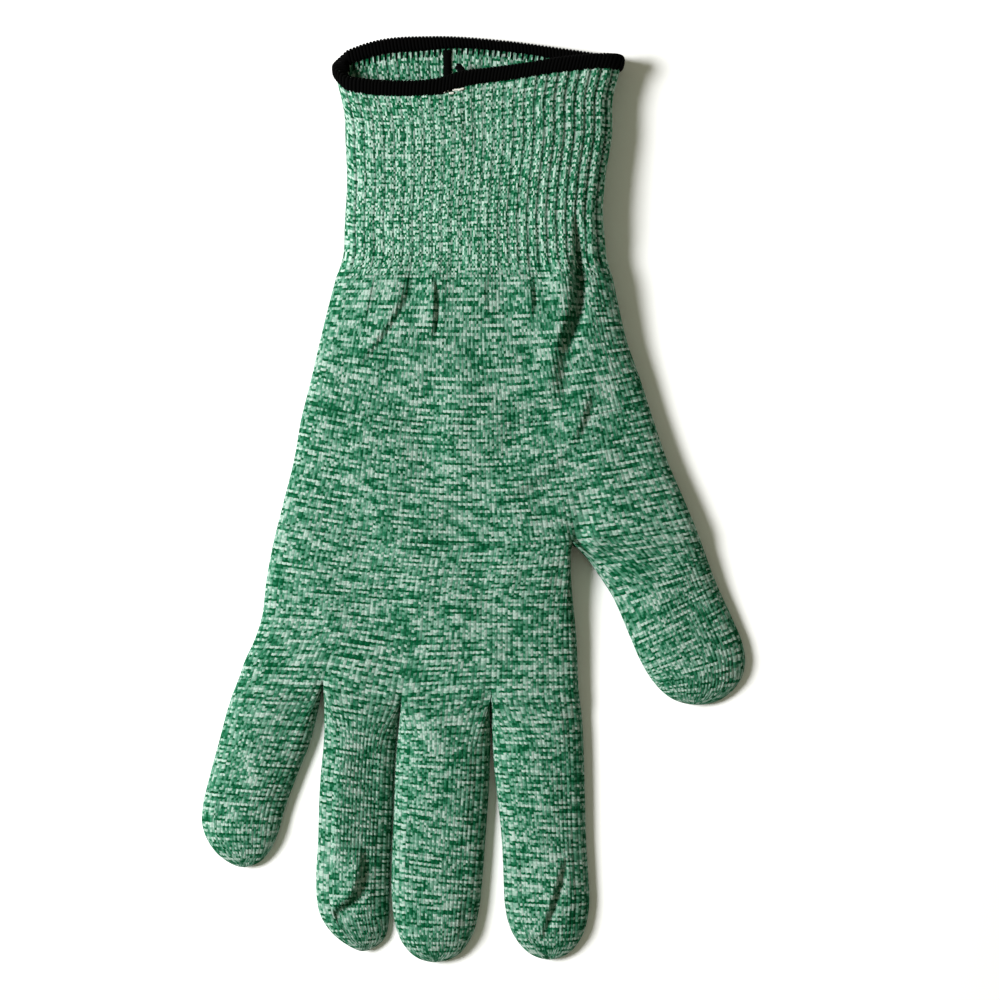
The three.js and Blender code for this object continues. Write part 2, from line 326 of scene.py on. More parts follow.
class Rings:
    """A tube of fabric as rings of vertices, in a grid of rows and columns.

    A ring's columns run over the upper layer from left to right, down the right side, back under the lower
    layer and up the left side.

    Args:
        ids: vertex numbers, one row for each ring.
        top: columns on each layer.
        courses: the knit's course number at each ring.
        wales: the knit's wale number at each ring's columns, and once more where the ring closes.
        upwards: whether rows run up the arm, as the cuff's do.
    """

    def __init__(self, ids: Array, top: int, courses: Array, wales: Array,
                 upwards: bool = False) -> None:
        """Keeps the rings, which are as wide as they can be and open at their end."""
        self.ids = ids
        self.top = top
        self.courses = courses
        self.wales = np.broadcast_to(wales, (ids.shape[0], ids.shape[1] + 1))
        self.upwards = upwards
        self.pole: Optional[int] = None
        self.narrowing = np.ones(ids.shape[0])

    @property
    def columns(self) -> int:
        """How many columns go round the tube."""
        return self.ids.shape[1]

    def across(self, row: int, first: int, last: int, right: Sequence[int], left: Sequence[int]) -> Array:
        """Works out the ring that a narrower tube starts from: part of both layers, and the sides given.

        Args:
            row: which ring of this tube it starts at.
            first, last: the columns of the upper layer that it takes.
            right, left: vertex numbers down its right side and up its left side.

        Returns:
            The ring's vertex numbers.
        """
        upper = self.ids[row, first : last + 1]
        lower = self.ids[row, [self.under(column) for column in range(last, first - 1, -1)]]
        return np.concatenate([upper, right, lower, left])

    def under(self, column: int) -> int:
        """Returns the column of the lower layer below a column of the upper layer."""
        return 2 * self.top + SIDE - column

    def right_side(self, row: int) -> Array:
        """Returns the vertex numbers down a ring's right side."""
        return self.ids[row, self.top + 1 : self.top + SIDE]

    def left_side(self, row: int) -> Array:
        """Returns the vertex numbers up a ring's left side."""
        return self.ids[row, 2 * self.top + SIDE + 1 :]

    def faces(self, rows: Array, step: int, inward: bool) -> tuple[Array, Array]:
        """Joins rings with four-sided faces.

        Args:
            rows: the rings to join.
            step: how many columns each face spans.
            inward: whether the faces look into the tube.

        Returns:
            The faces' corners and the knit coordinates there.
        """
        columns = np.arange(0, self.columns + 1, step)
        grid = self.ids[np.ix_(rows, columns % self.columns)]
        knit = np.stack(
            np.broadcast_arrays(self.wales[np.ix_(rows, columns)], self.courses[rows][:, None]), axis=-1)
        corners = [(0, 0), (1, 0), (1, 1), (0, 1)]
        if self.upwards != inward:
            corners.reverse()
        count = (len(rows) - 1, len(columns) - 1)
        take = [(slice(r, r + count[0]), slice(c, c + count[1])) for r, c in corners]
        quads = np.stack([grid[t] for t in take], axis=-1).reshape(-1, 4)
        coordinates = np.stack([knit[t] for t in take], axis=-2).reshape(-1, 4, 2)
        return quads, coordinates

    def fan(self) -> Array:
        """Returns the triangles that close the tube at its pole."""
        last = self.ids[-1]
        pole = np.full(len(last), self.pole)
        return np.stack([last, pole, np.roll(last, -1)], axis=1)


def grow(
    fabric: Fabric,
    start: Array,
    shape: TubeShape,
    top: int,
    wall: float,
    root: float,
    settling: float,
) -> Array:
    """Adds a tube to the fabric.

    Args:
        fabric: what the tube is added to.
        start: vertex numbers of the ring that it starts from, which it shares.
        shape: how the tube lies; its first ring is the shared one.
        top: columns on each layer.
        wall: thickness of its fabric.
        root: the length over which the shared ring's heights turn into the tube's own.
        settling: the length over which the columns spread out into the tube's own places.

    Returns:
        The tube's rings of vertex numbers.
    """
    shares, heights = shape.section(top)
    shared = fabric.points[start]
    axis = shape.right[0] - shape.left[0]
    first_share = (shared[:, :2] - shape.left[0]) @ axis / (axis @ axis)
    aside = shared[:, :2] - shape.left[0] - first_share[:, None] * axis
    middle = (shape.left + shape.right) / 2
    travel = np.concatenate([[0.0], np.cumsum(np.linalg.norm(np.diff(middle, axis=0), axis=1))])
    settled, own = ease(travel / settling)[:, None], ease(travel / root)[:, None]
    shares = first_share[None] * (1 - settled) + shares * settled
    heights = shared[None, :, 2] * (1 - own) + heights * own
    span = (shape.right - shape.left)[:, None]
    plan = shape.left[:, None] + shares[..., None] * span + aside[None] * (1 - settled[..., None])
    points = np.concatenate([plan, heights[..., None]], axis=-1)
    return np.vstack([start[None], fabric.add(points[1:], wall)])


def wales_from(first: int, columns: int) -> Array:
    """Returns the wale numbers round a ring whose first column is a column of the palm."""
    return (first + np.arange(columns + 1)) / WALE


def courses_down(shape: TubeShape, first: float) -> Array:
    """Returns the course number at each ring of a tube that starts at a course."""
    middle = (shape.left + shape.right) / 2
    steps = np.linalg.norm(np.diff(middle, axis=0), axis=1)
    return first + np.concatenate([[0.0], np.cumsum(steps)]) / COURSE


NEARLY_FULL = 0.93  # a digit this much as wide as a third of the way down it counts as full


def narrowing(shape: TubeShape) -> Array:
    """Returns what share of its full width a digit still has at each ring."""
    width = np.linalg.norm(shape.right - shape.left, axis=1)
    return np.minimum(1.0, width / (NEARLY_FULL * width[len(width) // 3]))


def wales_of_digit(shape: TubeShape, first: int, top: int) -> Array:
    """Numbers a digit's wales: as it narrows, wales end at its sides instead of coming together.

    Args:
        shape: how the digit lies.
        first: the palm's column that it starts at.
        top: how many columns each layer has.

    Returns:
        A wale number for each ring and column, and once more where the ring closes.
    """
    plain = wales_from(first, 2 * (top + SIDE))
    narrow = narrowing(shape)[:, None]
    upper, lower = (first + top / 2) / WALE, (first + 1.5 * top + SIDE) / WALE
    starts = np.array([0, top, top + SIDE, 2 * top + SIDE, 2 * (top + SIDE)])
    middles = np.array([upper, upper, lower, lower, upper + plain[-1] - plain[0]])
    pulled = middles + (plain[starts] - middles) * narrow
    return np.stack([np.interp(np.arange(len(plain)), starts, row) for row in pulled])


def web(fabric: Fabric, high: int, low: int) -> Array:
    """Adds the short upright line of fabric at a crotch, between the two layers, and returns its vertices."""
    shares = np.linspace(0, 1, SIDE + 1)[1:-1, None]
    a, b = fabric.points[high], fabric.points[low]
    return fabric.add(a + (b - a) * shares, PLAIN_WALL)


# How each section lies --------------------------------------------------------

PALM_LEFT = Curve.along_y(
    (WRIST_Y, -37.1), (54.1, -38.7), (43.3, -41.4), (32.5, -43.9), (21.7, -46.6), (10.9, -48.5),
    (0.1, -51.2), (-10.7, -53.9), (-21.5, -56.0), (-32.3, -57.4), (-38.0, -59.3), (-43.1, -61.7),
    (float(LITTLE_SIDE[1]), float(LITTLE_SIDE[0])),
)
PALM_RIGHT = Curve.along_y(
    (WRIST_Y, 37.4), (54.1, 38.7), (43.3, 41.2), (32.5, 45.0), (21.7, 48.5), (10.9, 52.2), (0.1, 56.8),
    (float(THUMB_CROTCH[1]), 61.4),
)
UPPER_PALM_RIGHT = Curve.along_y(
    (float(THUMB_CROTCH[1]), float(THUMB_CROTCH[0])), (-16.0, 27.8), (-26.9, 27.5), (-37.7, 27.8),
    (float(INDEX_SIDE[1]), float(INDEX_SIDE[0])),
)
CUFF_LEFT = Curve.along_y(
    (WRIST_Y, -37.1), (64.9, -35.5), (75.7, -34.8), (86.5, -34.2), (97.3, -34.6), (104.0, -34.8),
    (109.0, -35.7), (113.0, -36.7), (118.0, -37.1),
)
CUFF_RIGHT = Curve.along_y(
    (WRIST_Y, 37.4), (64.9, 35.8), (70.3, 35.2), (75.7, 34.7), (86.5, 35.4), (97.3, 37.1), (108.0, 37.5),
    (113.0, 38.8), (120.0, 40.2),
)
# The middle of the binding, in plan: on the front layer's edge, and on the back layer's behind it.
MOUTH_FRONT = Curve(
    [-38.5, -34.7, -29.3, -19.8, -9.0, 1.8, 12.6, 23.4, 34.2, 39.5],
    [115.2, 112.2, 110.9, 110.3, 110.8, 112.5, 114.0, 115.9, 117.2, 117.3],
)
MOUTH_BACK = Curve(
    [-38.5, -35.5, -31.5, -26.6, -11.7, 7.2, 23.4, 34.2, 39.5],
    [117.0, 118.9, 120.7, 122.2, 123.4, 122.3, 120.2, 118.6, 117.6],
)
BINDING_BELOW_EDGE = 1.7  # from the fabric's edge down to the middle of its binding


class Outline:
    """A digit seen from above: one smooth line down its left side, round its tip, and back up its right side.

    Args:
        left, right: points down each side from the root; both end at the same point of the tip.
    """

    def __init__(self, left: Sequence, right: Sequence) -> None:
        """Runs the line through the points of both sides."""
        self.line = Curve.through(*left, *right[-2::-1])
        self.tip = float(self.line.knots[len(left) - 1])

    def left(self, at: Array) -> Array:
        """Returns points of the left side, at shares of the way from the root to the tip."""
        return self.line(at * self.tip)

    def right(self, at: Array) -> Array:
        """Returns points of the right side, at shares of the way from the root to the tip."""
        return self.line(1 - at * (1 - self.tip))


@dataclass(frozen=True)
class Digit:
    """How a finger or the thumb lies.

    Args:
        outline: its sides, seen from above.
        left_edge: its height near its left side.
        right_edge: its heights near its right side, at its root and at its tip.
        crown: how far its middle stands above those.
        slant: how far ahead of the left side the courses are at the right one, in shares of the length.
    """

    outline: Outline
    left_edge: float
    right_edge: tuple[float, float]
    crown: float
    slant: float = 0.0


DIGITS = {
    "index": Digit(
        Outline(
            (MIDDLE_CROTCH, (4.8, -57.0), (5.1, -64.7), (5.7, -73.0), (6.6, -80.9), (7.7, -91.7),
             (8.2, -102.5), (8.5, -109.0), (9.5, -114.3), (11.8, -119.2), (15.4, -122.8), (20.6, -124.3)),
            (INDEX_SIDE, (29.3, -59.3), (29.8, -70.1), (30.1, -80.9), (30.4, -91.7), (31.0, -102.0),
             (31.3, -108.5), (30.7, -113.7), (29.1, -118.6), (25.8, -122.6), (20.6, -124.3)),
        ),
        4.2, (4.4, 2.7), 2.9, 0.02,
    ),
    "middle": Digit(
        Outline(
            (RING_CROTCH, (-20.0, -60.0), (-20.9, -70.1), (-21.5, -85.0), (-22.0, -97.1),
             (-22.0, -108.0), (-21.2, -114.5), (-19.2, -119.8), (-15.6, -123.6), (-10.2, -125.0)),
            (MIDDLE_CROTCH, (4.5, -57.0), (4.5, -64.7), (4.2, -75.5), (3.1, -91.7), (2.3, -102.5),
             (1.3, -111.3), (-0.7, -118.4), (-4.4, -123.2), (-10.2, -125.0)),
        ),
        5.0, (4.0, 3.6), 2.9, 0.05,
    ),
    "ring": Digit(
        Outline(
            (LITTLE_CROTCH, (-40.3, -56.0), (-40.4, -64.7), (-41.4, -75.5), (-42.0, -91.7), (-42.5, -102.5),
             (-42.3, -108.0), (-41.5, -111.8), (-38.9, -116.2), (-35.0, -119.7), (-29.6, -122.0)),
            (RING_CROTCH, (-20.5, -60.0), (-21.4, -70.1), (-22.0, -85.0), (-22.6, -97.1), (-22.9, -108.0),
             (-23.0, -113.5), (-24.2, -118.8), (-29.6, -122.0)),
        ),
        6.0, (2.0, 2.0), 2.2, 0.03,
    ),
    "little": Digit(
        Outline(
            (LITTLE_SIDE, (-65.7, -53.9), (-68.7, -64.7), (-71.2, -74.0), (-73.2, -82.5), (-73.5, -87.3),
             (-71.8, -92.4), (-67.8, -97.0), (-62.4, -99.3)),
            (LITTLE_CROTCH, (-41.7, -54.5), (-44.1, -64.7), (-47.7, -74.0), (-51.2, -83.5), (-53.0, -90.0),
             (-55.0, -94.6), (-58.2, -98.1), (-62.4, -99.3)),
        ),
        4.2, (3.6, 3.4), 2.8, 0.03,
    ),
    "thumb": Digit(
        Outline(
            (THUMB_CROTCH, (31.6, -15.2), (35.1, -21.2), (38.3, -27.2), (42.8, -37.7), (45.4, -43.6),
             (48.9, -49.2), (53.4, -53.5), (59.6, -55.3)),
            (THUMB_SIDE, (61.6, -11.8), (65.2, -21.5), (70.1, -32.3), (72.6, -38.3), (73.5, -43.3),
             (72.5, -48.2), (69.6, -52.1), (65.2, -54.7), (59.6, -55.3)),
        ),
        4.4, (7.0, 1.6), 3.0, -0.2,
    ),
}
PALM_CROWN = 4.2
PALM_EDGE = Curve.along_y((WRIST_Y, 7.6), (30.0, 6.4), (0.0, 5.6), (-50.0, 5.2))
PALM_RIGHT_EDGE = Curve.along_y(
    (WRIST_Y, 9.6), (45.0, 7.8), (30.0, 6.2), (0.0, 6.3), (-14.0, 6.4), (-50.0, 4.8),
)
CUFF_RIGHT_EDGE = Curve.along_y(
    (WRIST_Y, 9.6), (65.3, 10.2), (75.7, 12.8), (86.5, 13.0), (97.3, 11.6), (108.0, 10.6), (120.0, 10.2),
)
SIDE_ROUNDING = 3.6
CUFF_SETTLED = 0.4  # over this share of its length, the cuff takes on its own crown and roundness
CUFF_CROWN_DROP = 2.0  # how much lower its crown is
CUFF_ROUNDING_DROP = 0.8
CUFF_OPENS = 0.45  # beyond this share of its length, the cuff opens towards its mouth
MOUTH_SWELL = 0.6  # how much higher its layers are at the mouth
MOUTH_LIFT = 1.4  # how far its underside is off the table there
SEAM_SHARE = 0.46  # of the height at a side, where the upper layer turns into the lower one
WEB_HIGH, WEB_LOW = 7.4, 2.0  # heights of the crotch lines' ends
ROOT = 8.0  # a digit takes on its own roundness over this length
SETTLING = 16.0  # and its wales their own places over this one
PALM_SETTLING = 30.0  # and the upper palm's wales theirs over this one
WARP_START, WARP_LENGTH = 20.0, 45.0  # where below the wrist the wales start to part, and for how long
HANG_LENGTH = 32.0  # the courses start to hang over this length below the wrist
STEER_FROM = 0.25  # the upper palm's share from which its wales turn to the fingers' crotches
FOLDLESS_SIDE = 0.22  # folds fade out over this share of the way from a side edge to the middle
TIP_LENGTH = 9.0  # how far from its end a digit starts to come down
TIP_POWER = 2.2
TIP_SEAM_HEIGHT = 2.2
TIP_END = 0.995  # the share of a digit's outline where its rings stop, just before the end
TIP_ROWS = 8.0  # mm counted on top of a digit's length for the rows that go round its tip
DIP_WIDTH, DIP_SPREAD = 1.9, 0.35  # how wide the dip at a crotch is, and how much wider for each mm above
DIP_FADE, DIP_END = 5.0, 40.0  # how far above the crotch it fades, and where it stops


def palm_tube(left: Array, right: Array) -> TubeShape:
    """Works out how the palm lies.

    Args:
        left, right: points of its side edges, in plan, one for each ring.

    Returns:
        Its tube.
    """
    rings = np.ones(len(left))
    return TubeShape(
        left,
        right,
        PALM_CROWN * rings,
        PALM_EDGE(left[:, 1]),
        PALM_RIGHT_EDGE(right[:, 1]),
        SIDE_ROUNDING * rings,
        0 * rings,
    )


def rows_for(length: float) -> int:
    """Returns how many rows fill a length, in whole rows of the inner face."""
    return INNER_ROWS * round(length / ROW / INNER_ROWS)


def digit_tube(name: str) -> TubeShape:
    """Works out how a finger or the thumb lies.

    Args:
        name: which digit.

    Returns:
        Its tube, from its root to just before the end of its tip.
    """
    digit = DIGITS[name]
    outline = digit.outline
    path = np.linspace(0, 1, 400)
    middle = (outline.left(path) + outline.right(path)) / 2
    length = np.linalg.norm(np.diff(middle, axis=0), axis=1).sum()
    rows = rows_for(length + TIP_ROWS)
    at = np.linspace(0, 1, rows + 1) * TIP_END
    slant = digit.slant * np.sin(math.pi * at) ** 2
    left, right = outline.left(at - slant / 2), outline.right(at + slant / 2)
    to_end = np.linalg.norm((left + right) / 2 - outline.left(np.array(1.0)), axis=1)
    height = (1 - np.clip(1 - to_end / TIP_LENGTH, 0, 1) ** TIP_POWER) ** (1 / TIP_POWER)
    width = np.linalg.norm(right - left, axis=1)
    root_edge, tip_edge = digit.right_edge
    return TubeShape(
        left,
        right,
        digit.crown * height * np.minimum(1.0, width / (0.8 * width.max())) ** 1.5,
        digit.left_edge * height,
        (root_edge + (tip_edge - root_edge) * at) * height,
        np.full(rows + 1, SIDE_ROUNDING),
        TIP_SEAM_HEIGHT * (1 - height),
    )


# Folds of the cloth -----------------------------------------------------------


def beside(route: Sequence, x: Array, y: Array) -> tuple[Array, Array]:
    """Measures places against a smooth route.

    Args:
        route: points that the route runs through.
        x, y: the places.

    Returns:
        How far left of the route each place is, and how far along it, from 0 to 1.
    """
    line = Curve.through(*route)(np.linspace(0, 1, 24))
    nearest = np.full(x.shape, 1e9)
    signed = np.zeros_like(x)
    place = np.zeros_like(x)
    for i, (a, b) in enumerate(zip(line[:-1], line[1:])):
        along = b - a
        t = np.clip(((x - a[0]) * along[0] + (y - a[1]) * along[1]) / (along @ along), 0, 1)
        dx, dy = x - a[0] - t * along[0], y - a[1] - t * along[1]
        distance = np.hypot(dx, dy)
        nearer = distance < nearest
        nearest = np.where(nearer, distance, nearest)
        signed = np.where(nearer, np.sign(along[0] * dy - along[1] * dx) * distance, signed)
        place = np.where(nearer, (i + t) / (len(line) - 1), place)
    return signed, place


@dataclass(frozen=True)
class Fold:
    """A fold in the upper layer: the cloth rises gently on its left and drops steeply at its line.

    Args:
        route: points that the line runs through, in plan.
        height: how far the cloth drops at the middle of the line.
        width: how wide the drop is.
        reach: how far to the left the cloth is raised.
        groove: how deep a groove lies at the foot of the drop.
    """

    route: tuple
    height: float
    width: float
    reach: float
    groove: float = 0.0

    def lift(self, x: Array, y: Array) -> Array:
        """Returns how far the fold moves the cloth up at places, which dies away towards the line's ends."""
        signed, place = beside(self.route, x, y)
        strength = np.sin(math.pi * np.clip(place, 0, 1)).clip(0, 1) ** 0.7
        raised = ease(signed / self.width + 0.5) * np.exp(-np.maximum(signed, 0.0) / self.reach)
        foot = np.exp(-(((signed + 0.45 * self.width) / (0.6 * self.width)) ** 2))
        return strength * (self.height * raised - self.groove * foot)


@dataclass(frozen=True)
class Swell:
    """A soft ridge along a route, or a soft hollow when its height is negative.

    Args:
        route: points that it runs through, in plan.
        height: how high it is.
        width: how far from the route it has sunk to about a third of that.
    """

    route: tuple
    height: float
    width: float

    def lift(self, x: Array, y: Array) -> Array:
        """Returns how far the ridge moves the cloth up at each place."""
        signed, place = beside(self.route, x, y)
        strength = np.sin(math.pi * np.clip(place, 0, 1)).clip(0, 1) ** 0.8
        return strength * self.height * np.exp(-((signed / self.width) ** 2))


FOLDS = (
    Fold(((-10.9, 42.5), (-10.1, 48.7), (-10.0, 54.0), (-10.8, 61.0)), 1.0, 1.2, 3.5, 0.8),
    Fold(((-32.0, 34.5), (-24.4, 44.0), (-20.9, 49.5), (-18.0, 55.8), (-17.0, 62.0)), 1.1, 2.0, 5.0, 0.4),
    Fold(((23.0, 40.0), (25.2, 46.5), (26.9, 52.0), (27.2, 58.0), (26.8, 76.0)), 2.6, 3.0, 6.0, 3.4),
    Fold(((22.8, 25.0), (22.4, 33.0), (22.9, 38.5), (24.3, 43.5), (26.6, 49.0)), 2.1, 5.0, 6.5, 0.7),
    Fold(((31.0, 50.0), (31.2, 58.0), (30.8, 66.0)), 0.7, 1.4, 3.0, 0.5),
    Fold(((27.0, 15.0), (29.4, 21.0), (31.8, 29.5)), 1.2, 2.4, 5.0, 0.4),
    Fold(((3.0, -2.5), (13.5, 3.0), (22.5, 9.5), (28.0, 17.0)), 0.9, 3.2, 9.0),
    Fold(((15.9, 48.5), (16.1, 53.0), (15.7, 59.0)), 0.7, 1.0, 2.5, 0.4),
    Fold(((4.2, 50.0), (3.4, 54.5), (3.9, 60.0)), 0.4, 1.0, 2.0, 0.2),
    Fold(((-29.5, 47.0), (-27.6, 53.0), (-26.5, 60.0)), 0.5, 1.2, 2.5, 0.2),
    Fold(((-42.5, -113.0), (-37.2, -110.2), (-32.8, -107.0), (-30.6, -102.0), (-30.0, -93.0)),
         2.5, 2.8, 5.0, 1.2),
    Fold(((18.2, -118.0), (20.4, -111.0), (22.4, -104.5), (24.6, -95.5)), 1.6, 1.7, 4.0, 1.0),
    Fold(((28.4, -96.6), (25.6, -95.2), (22.4, -96.8)), 0.4, 1.0, 2.0, 0.4),
    Fold(((14.0, -118.6), (18.0, -117.4), (22.5, -116.0), (26.5, -113.5)), 0.4, 1.6, 3.0, 0.2),
    Fold(((36.0, -8.0), (43.0, -8.8), (51.5, -6.5), (58.5, -1.5)), 0.4, 2.4, 5.0),
)
SWELLS = (
    Swell(((-3.5, 38.0), (-4.5, 22.0), (-4.0, 8.0), (-9.0, -8.0)), 0.9, 5.5),
    Swell(((36.0, 48.0), (38.0, 36.0), (42.0, 24.0)), 0.9, 3.4),
    Swell(((-40.0, 42.0), (-43.0, 24.0), (-44.5, 8.0)), 0.6, 3.5),
    Swell(((21.0, 26.0), (12.0, 18.0), (4.0, 10.0)), -0.5, 4.0),
    Swell(((-36.0, -60.0), (-36.5, -80.0), (-37.0, -100.0)), 0.7, 5.0),
)


GATHER_HEIGHT, GATHER_LENGTH = 0.42, 7.5  # of the small upright gathers at the wrist
GATHER_STRETCH = 0.18  # they are drawn out along Y by this factor
GATHERS_BELOW_WRIST, GATHERS_REACH = 3.0, 8.0
SOFT_WAVES = ((0.34, 34.0, 11), (0.14, 11.0, 23))  # height, length and seed


def fold_height(x: Array, y: Array) -> Array:
    """Returns how far the folds, gathers and soft waves of the upper layer move it up, in millimetres."""
    height = sum(feature.lift(x, y) for feature in FOLDS + SWELLS)
    gathered = np.exp(-(((y - WRIST_Y + GATHERS_BELOW_WRIST) / GATHERS_REACH) ** 2))
    height += GATHER_HEIGHT * gathered * waves(x, GATHER_STRETCH * y, GATHER_LENGTH, seed=4)
    for strength, length, seed in SOFT_WAVES:
        height += strength * waves(x, y, length, seed=seed)
    return height


# Building the fabric ----------------------------------------------------------


class GloveFabric:
    """The whole knitted surface: the rings of every section, joined, folded, and given the knit's relief."""

    def __init__(self) -> None:
        """Builds the sections from the wrist outwards, then folds them and raises the knit."""
        self.fabric = Fabric()
        self.rings: dict[str, Rings] = {}
        self.palm_columns = sum(FINGER_COLUMNS.values())
        self._lower_palm()
        self._cuff()
        self._upper_palm_and_thumb()
        self._fingers()
        self._fold()
        self._knit()

    def _lower_palm(self) -> None:
        """Adds the palm from the wrist down to the thumb's crotch."""
        rows = rows_for(WRIST_Y - THUMB_CROTCH[1])
        y = np.linspace(WRIST_Y, THUMB_SIDE[1], rows + 1)
        left = np.stack([PALM_LEFT(y), y], axis=1)
        right = np.stack([PALM_RIGHT(y), y], axis=1)
        top = self.palm_columns + THUMB_COLUMNS
        shape = palm_tube(left, right)
        shares, heights = shape.section(top)
        # Above the thumb's crotch, the columns of the palm and of the thumb part at the crotch itself.
        share = (THUMB_CROTCH[0] - left[-1, 0]) / (right[-1, 0] - left[-1, 0])
        even = self.palm_columns / top
        warp = ease((WRIST_Y - WARP_START - y) / WARP_LENGTH)[:, None]
        shifted = np.where(shares < even, shares * share / even, 1 - (1 - shares) * (1 - share) / (1 - even))
        shares = shares + warp * (shifted - shares)
        plan = left[:, None] + shares[..., None] * (right - left)[:, None]
        # The courses hang down in the middle, just far enough to pass through the crotch.
        hang = shares * (1 - shares) * (THUMB_SIDE[1] - THUMB_CROTCH[1]) / (share * (1 - share))
        plan[..., 1] -= hang * ease((WRIST_Y - y) / HANG_LENGTH)[:, None]
        ids = self.fabric.add(np.concatenate([plan, heights[..., None]], axis=-1), PLAIN_WALL)
        courses = (WRIST_Y - y) / COURSE
        rings = Rings(ids, top, courses, wales_from(0, ids.shape[1]))
        self.rings["lower_palm"] = rings
        self._dip(rings, self.palm_columns, THUMB_CROTCH)

    def _dip(self, rings: Rings, column: int, crotch: Array) -> None:
        """Brings both layers together towards a crotch at the last ring.

        Args:
            rings: the tube.
            column: the column of its upper layer that ends at the crotch.
            crotch: where the crotch is, in plan.
        """
        points = self.fabric.points
        away = np.arange(len(rings.ids))[::-1, None] * ROW
        for span, target in ((slice(0, rings.top + 1), WEB_HIGH),
                             (slice(rings.top + SIDE, 2 * rings.top + SIDE + 1), WEB_LOW)):
            ids = rings.ids[:, span]
            aside = points[ids][..., 0] - crotch[0]
            pull = np.exp(-((aside / (DIP_WIDTH + DIP_SPREAD * away)) ** 2) - away / DIP_FADE)
            pull *= away < DIP_END
            edge_column = column if target == WEB_HIGH else rings.top - column
            points[ids, 2] += pull * (target - points[ids[-1, edge_column], 2])

    def _cuff(self) -> None:
        """Adds the cuff, from the wrist up to its mouth."""
        palm = self.rings["lower_palm"]
        middle = (float(MOUTH_FRONT(-38.5)) + float(MOUTH_BACK(39.5))) / 2 + BINDING_BELOW_EDGE
        rows = rows_for(middle - WRIST_Y)
        rise = np.linspace(0, 1, rows + 1)
        y = WRIST_Y + rise * (middle - WRIST_Y)
        left = np.stack([CUFF_LEFT(y), y], axis=1)
        right = np.stack([CUFF_RIGHT(y), y], axis=1)
        settled, opening = ease(rise / CUFF_SETTLED), ease((rise - CUFF_OPENS) / (1 - CUFF_OPENS))
        shape = TubeShape(
            left,
            right,
            PALM_CROWN - CUFF_CROWN_DROP * settled + MOUTH_SWELL * opening,
            PALM_EDGE(WRIST_Y) + MOUTH_SWELL * opening,
            CUFF_RIGHT_EDGE(y),
            SIDE_ROUNDING - CUFF_ROUNDING_DROP * settled,
            MOUTH_LIFT * opening,
        )
        shares, heights = shape.section(palm.top)
        plan = left[:, None] + shares[..., None] * (right - left)[:, None]
        edge = self._mouth_edge(plan[-1], palm.top)
        plan[..., 1] = WRIST_Y + rise[:, None] * (edge[None] - WRIST_Y)
        points = np.concatenate([plan, heights[..., None]], axis=-1)
        points[0] = self.fabric.points[palm.ids[0]]
        ids = np.vstack([palm.ids[:1], self.fabric.add(points[1:], RIB_WALL)])
        self.rings["cuff"] = Rings(ids, palm.top, -rise * (middle - WRIST_Y) / COURSE, palm.wales[0], True)

    @staticmethod
    def _mouth_edge(plan: Array, top: int) -> Array:
        """Works out how far up the arm the cuff ends.

        Args:
            plan: where its last ring is, in plan.
            top: how many columns each layer has.

        Returns:
            The place in Y of each column's end.
        """
        front, back = MOUTH_FRONT(plan[:, 0]), MOUTH_BACK(plan[:, 0])
        side = np.sin(np.linspace(math.pi / 2, -math.pi / 2, SIDE + 1)[1:-1])
        weight = np.concatenate([np.ones(top + 1), side, -np.ones(top + 1), side[::-1]])
        return (front + back) / 2 + weight * (front - back) / 2 + BINDING_BELOW_EDGE

    def _upper_palm_and_thumb(self) -> None:
        """Adds the palm from the thumb's crotch to the fingers', and the thumb beside it."""
        palm = self.rings["lower_palm"]
        last = palm.ids.shape[0] - 1
        fork = self.palm_columns
        crotch = web(self.fabric, palm.ids[last, fork], palm.ids[last, palm.under(fork)])
        start = palm.across(last, 0, fork, crotch, palm.left_side(last))
        rows = rows_for(THUMB_CROTCH[1] - INDEX_SIDE[1])
        share = np.linspace(0, 1, rows + 1)
        left_y = THUMB_SIDE[1] + share * (LITTLE_SIDE[1] - THUMB_SIDE[1])
        right_y = THUMB_CROTCH[1] + share * (INDEX_SIDE[1] - THUMB_CROTCH[1])
        left = np.stack([PALM_LEFT(left_y), left_y], axis=1)
        right = np.stack([UPPER_PALM_RIGHT(right_y), right_y], axis=1)
        shape = palm_tube(left, right)
        shape.crown = PALM_CROWN - 1.0 * ease(share)
        ids = grow(self.fabric, start, shape, fork, PLAIN_WALL, ROOT, PALM_SETTLING)
        rings = Rings(ids, fork, courses_down(shape, palm.courses[-1]), wales_from(0, ids.shape[1]))
        self._steer_to_crotches(rings)
        self.rings["upper_palm"] = rings
        start = palm.across(last, fork, palm.top, palm.right_side(last), crotch[::-1])
        self._digit("thumb", start, palm.top - fork, palm.courses[-1], fork)

    def _digit(self, name: str, start: Array, top: int, first_course: float, first_column: int) -> None:
        """Adds a finger or the thumb.

        Args:
            name: which one it is.
            start: vertex numbers of the ring that it starts from.
            top: how many columns each layer has.
            first_course: the course's number at that ring.
            first_column: the palm's column that it starts at.
        """
        shape = digit_tube(name)
        ids = grow(self.fabric, start, shape, top, PLAIN_WALL, ROOT, SETTLING)
        wales = wales_of_digit(shape, first_column, top)
        rings = Rings(ids, top, courses_down(shape, first_course), wales)
        rings.narrowing = narrowing(shape)
        middle = (shape.left[-1] + shape.right[-1]) / 2
        end = np.array([[*middle, self.fabric.points[ids[-1], 2].mean()]])
        rings.pole = int(self.fabric.add(end, PLAIN_WALL)[0])
        self.rings[name] = rings

